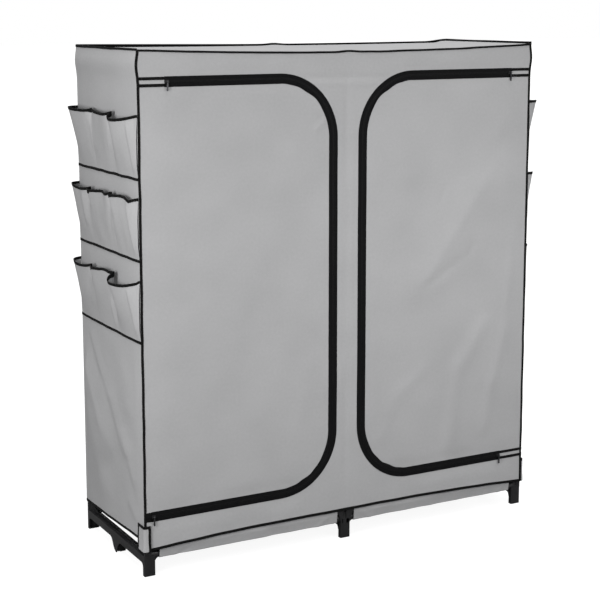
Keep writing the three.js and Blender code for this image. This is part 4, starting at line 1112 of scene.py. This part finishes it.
# %% Corner flaps
FLAP_BEND = 4 * MM
FLAP_PROUD = 1.2 * MM
FLAP_TAPE = bar(-1 * MM, 7.5 * MM, -CLOTH - 0.4 * MM, 1.0 * MM, 0.6 * MM)
# How far each flap reaches round the corner; the right one hardly does
FLAP_REACH = {"left": 20 * MM, "right": 6 * MM}


def add_flap(side, sign):
    """A cloth bent round the corner, its foot a little open, and tapes on both upright edges and the top."""
    low, high = corners(f"corner_flap_{side}")
    turn = np.radians(np.linspace(270, 180, 7))
    bend = FLAP_BEND + FLAP_BEND * together(np.cos(turn), np.sin(turn))
    inset = np.concatenate([[(FLAP_REACH[side], 0)], bend, [(0, high[1] - low[1])]])
    along = path_length(inset)
    s = lines(0, along[-1], cell=1.5 * MM)
    plan = ((high if sign > 0 else low)[0], low[1]) + resample(s, along, inset) * (-sign, 1)
    ahead = unit(np.gradient(plan, axis=0))
    away = together(ahead[:, 1], -ahead[:, 0]) * sign

    def on_flap(s_at, z, proud=0.0):
        """Points of the flap at a distance along it and a height."""
        share = (high[2] - z) / (high[2] - low[2])
        out = proud + FLAP_PROUD + 2 * MM * share**2 + 0.8 * MM * (1 + swells(s_at, z, 0.05, 61))
        beyond = s_at - np.clip(s_at, 0, s[-1])
        at, away_at, ahead_at = (resample(s_at, s, values) for values in (plan, away, ahead))
        places = at + out[..., None] * away_at + beyond[..., None] * ahead_at
        return together(places[..., 0], places[..., 1], z)

    z = lines(low[2], high[2], cell=3 * MM)[:, None]
    cut = together(s[None, :], z)
    replaced = [f"corner_flap_{side}"]
    flap = add_cloth(f"corner_cloth_{side}", on_flap(s[None, :], z), cut, (sign, -1, 0), COVER, replaced)
    stray = 1.2 * MM * swells(z, 0, 0.035, 66)
    tape, proud = FLAP_TAPE[None, :, 0], FLAP_TAPE[None, :, 1]
    pieces = [
        add_binding(f"binding_flap_front_{side}", on_flap(tape + stray, z, proud)),
        add_binding(f"binding_flap_side_{side}", on_flap(s[-1] - tape + stray, z, proud)),
        add_binding(f"binding_flap_top_{side}", on_flap(s[:, None], high[2] - tape, proud)),
    ]


for side, sign in SIDES.items():
    add_flap(side, sign)
print("flaps bend round", FLAP_BEND / MM, "mm")

# %% [markdown]
# ## Frame
# The supports keep the shape of their CAD nodes. A copy has its loose triangles joined, its flat
# faces made whole again and its edges rounded, as a moulding's are. The tubes are turned from a small profile.

# %% Moulded supports and zip hardware
# Edges from this angle on are rounded, faces within the second are made one, and so are points this near
SHARP = math.radians(35)
FLAT = math.radians(3)
JOIN = 0.01 * MM
# The side beams are narrower between their feet than the feet are: their inner side is set back there
BEAM_END = 200 * MM
BEAM_RAMP = 10 * MM
BEAM_STEP = 14 * MM
BEAM_CORE = 10 * MM
# So far either way from the middle and below this height, the stub's inner wall is set back further by the taper
STUB_REACH = 40 * MM
STUB_TIP = 12 * MM
STUB_TAPER = 8 * MM


def round_edges(piece, width):
    """Mark the sharp edges, and round them with a live bevel."""
    piece.data.set_sharp_from_angle(angle=SHARP)
    bevel = piece.modifiers.new("rounded edges", "BEVEL")
    bevel.width = width
    bevel.segments = 2
    bevel.limit_method = "ANGLE"
    bevel.angle_limit = SHARP
    bevel.harden_normals = True


def narrow_beam(mesh, middle, sign):
    """Move a side beam's inner wall, between the two inner cuts, outwards by the step, and its stub's tip further."""
    points = np.empty((len(mesh.vertices), 3), np.float32)
    mesh.vertices.foreach_get("co", points.ravel())
    inner = (np.abs(points[:, 1]) < BEAM_END + BEAM_RAMP / 2) & (sign * (middle - points[:, 0]) > BEAM_CORE)
    tip = inner & (np.abs(points[:, 1]) < STUB_REACH) & (points[:, 2] < STUB_TIP)
    points[:, 0] += sign * (BEAM_STEP * inner + STUB_TAPER * tip)
    mesh.vertices.foreach_set("co", points.ravel())


def rounded_copy(node, name, edge, finish, body, slot, narrow=0):
    """A copy of a CAD node with its points joined, its flat faces whole and its edges rounded by a bevel."""
    shape = bmesh.new()
    shape.from_mesh(frame["nodes"][node].data)
    bmesh.ops.remove_doubles(shape, verts=shape.verts, dist=JOIN)
    bmesh.ops.dissolve_limit(shape, angle_limit=FLAT, verts=shape.verts, edges=shape.edges)
    if narrow:
        for place in (-BEAM_END - BEAM_RAMP, -BEAM_END, BEAM_END, BEAM_END + BEAM_RAMP):
            whole = shape.verts[:] + shape.edges[:] + shape.faces[:]
            bmesh.ops.bisect_plane(shape, geom=whole, plane_co=(0, place, 0), plane_no=(0, 1, 0))
    mesh = bpy.data.meshes.new(name)
    shape.to_mesh(mesh)
    shape.free()
    if narrow:
        narrow_beam(mesh, corners(node).mean(axis=0)[0], narrow)
    piece = show(name, mesh, finish, body, [node])
    round_edges(piece, edge * MM)
    return piece


def add_rib(name, outline, axis, span):
    """A moulded rib: an outline in mm across one axis, as thick as span along it, with rounded edges."""
    outline = rounded(np.array(outline) * MM, 1)
    rings = np.stack([np.insert(outline, axis, end, axis=1) for end in span])
    round_edges(add_strip(name, rings, MOULDED_FINISH, COVER), 0.5 * MM)


# The solid stub foot, as (depth, height), and the webs beside the middle post's front collar, as (out, height)
STUB = [
    (48, 52), (44, 42), (32, 32), (20, 13), (12, 3), (6, 0.3), (-8, 0.3), (-15, 6), (-24, 22), (-38, 36), (-50, 42),
    (-50, 52),
]
STUB_HALF = 17 * MM
STUB_WIDE = 13 * MM
WEB_INNER = {"left": 9, "right": 3}
WEB = [(17, 52), (20, 68), (26, 83), (33, 93), (33, 112)]
REAR_WEB = [(14, 58), (30, 72), (42, 84), (42, 112), (14, 112)]
# Blocks that fill the side supports out to their corners under the cover, as (from the middle, depth)
PAD = [(719, 251), (719, 238), (704, 238), (704, 251)]
PAD_HEIGHT = (60 * MM, 92 * MM)
for side, sign in SIDES.items():
    web = [(WEB_INNER[side], 50), *WEB, (WEB_INNER[side], 112)]
    add_rib(f"moulded_web_{side}", [(sign * out, height) for out, height in web], 1, (-252 * MM, -246 * MM))
    add_rib(f"moulded_rear_web_{side}", [(sign * out, height) for out, height in REAR_WEB], 1, (-246 * MM, -243 * MM))
    for end, way in ENDS.items():
        add_rib(f"moulded_pad_{end}_{side}", [(sign * x, way * y) for x, y in PAD], 2, PAD_HEIGHT)
for column, sign in {"left": -1, "middle": 0, "right": 1}.items():
    moulded = (MOULDED_FINISH, COVER, "moulded_black")
    rounded_copy(f"base_support_{column}", f"moulded_base_{column}", 1.1, *moulded, sign)
    rounded_copy(f"top_support_{column}", f"moulded_top_{column}", 0.6, *moulded)
    middle = corners(f"base_support_{column}").mean(axis=0)[0]
    # A side support's stub is filled at its outer wall only
    span = (sign * STUB_HALF, sign * (STUB_HALF - STUB_WIDE)) if sign else (-STUB_HALF, STUB_HALF)
    add_rib(f"moulded_stub_{column}", STUB, 0, middle + np.array(span))
for place in (f"{side}_{run}" for side in SIDES for run in RUNS):
    slider, pull = f"slider_{place}", f"pull_{place}"
    rounded_copy(f"zip_{slider}", f"slider_body_{place}", 0.35, SLIDER_FINISH, slider, "slider_metal")
    rounded_copy(f"zip_{pull}", f"slider_pull_{place}", 0.3, PULL_FINISH, pull, "pull_metal")

# %% Tubes
TUBE_WALL = 1 * MM
TUBE_CHAMFER = 0.5 * MM


def add_tube(node):
    """A round tube along the longest side of a node's box: a closed wall profile turned round its axis."""
    low, high = corners(node)
    size, middle = high - low, (low + high) / 2
    axis = int(np.argmax(size))
    others = [i for i in range(3) if i != axis]
    start, end, radius = low[axis], high[axis], size.min() / 2
    outside = [(start + TUBE_CHAMFER, radius), (end - TUBE_CHAMFER, radius), (end, radius - TUBE_CHAMFER)]
    inside = [(end, radius - TUBE_WALL), (start, radius - TUBE_WALL), (start, radius - TUBE_CHAMFER)]
    along, out = np.array(outside + inside).T[:, None]
    turn = np.linspace(0, 2 * np.pi, 33)[:-1, None]
    points = np.empty((len(turn), along.size, 3))
    points[..., axis] = along
    points[..., others] = middle[others] + together(out * np.cos(turn), out * np.sin(turn))
    faces = grid_faces(*points.shape[:2], closed=True, ring=True)
    points = points.reshape(-1, 3)
    # Faces that point outwards enclose a volume above 0
    if (face_vectors(points, faces) * (points[faces].mean(axis=1) - middle)).sum() < 0:
        faces = faces[:, ::-1]
    piece = add_piece(f"tube_{node}", points, faces.tolist(), POWDER_FINISH, COVER, [node])
    piece.data.set_sharp_from_angle(angle=math.radians(30))


tubes = [node for node in frame["nodes"] if node.startswith(("upright", "base_rail", "top_rail", "hanging_rod"))]
for tube in tubes:
    add_tube(tube)
print("tubes:", len(tubes))
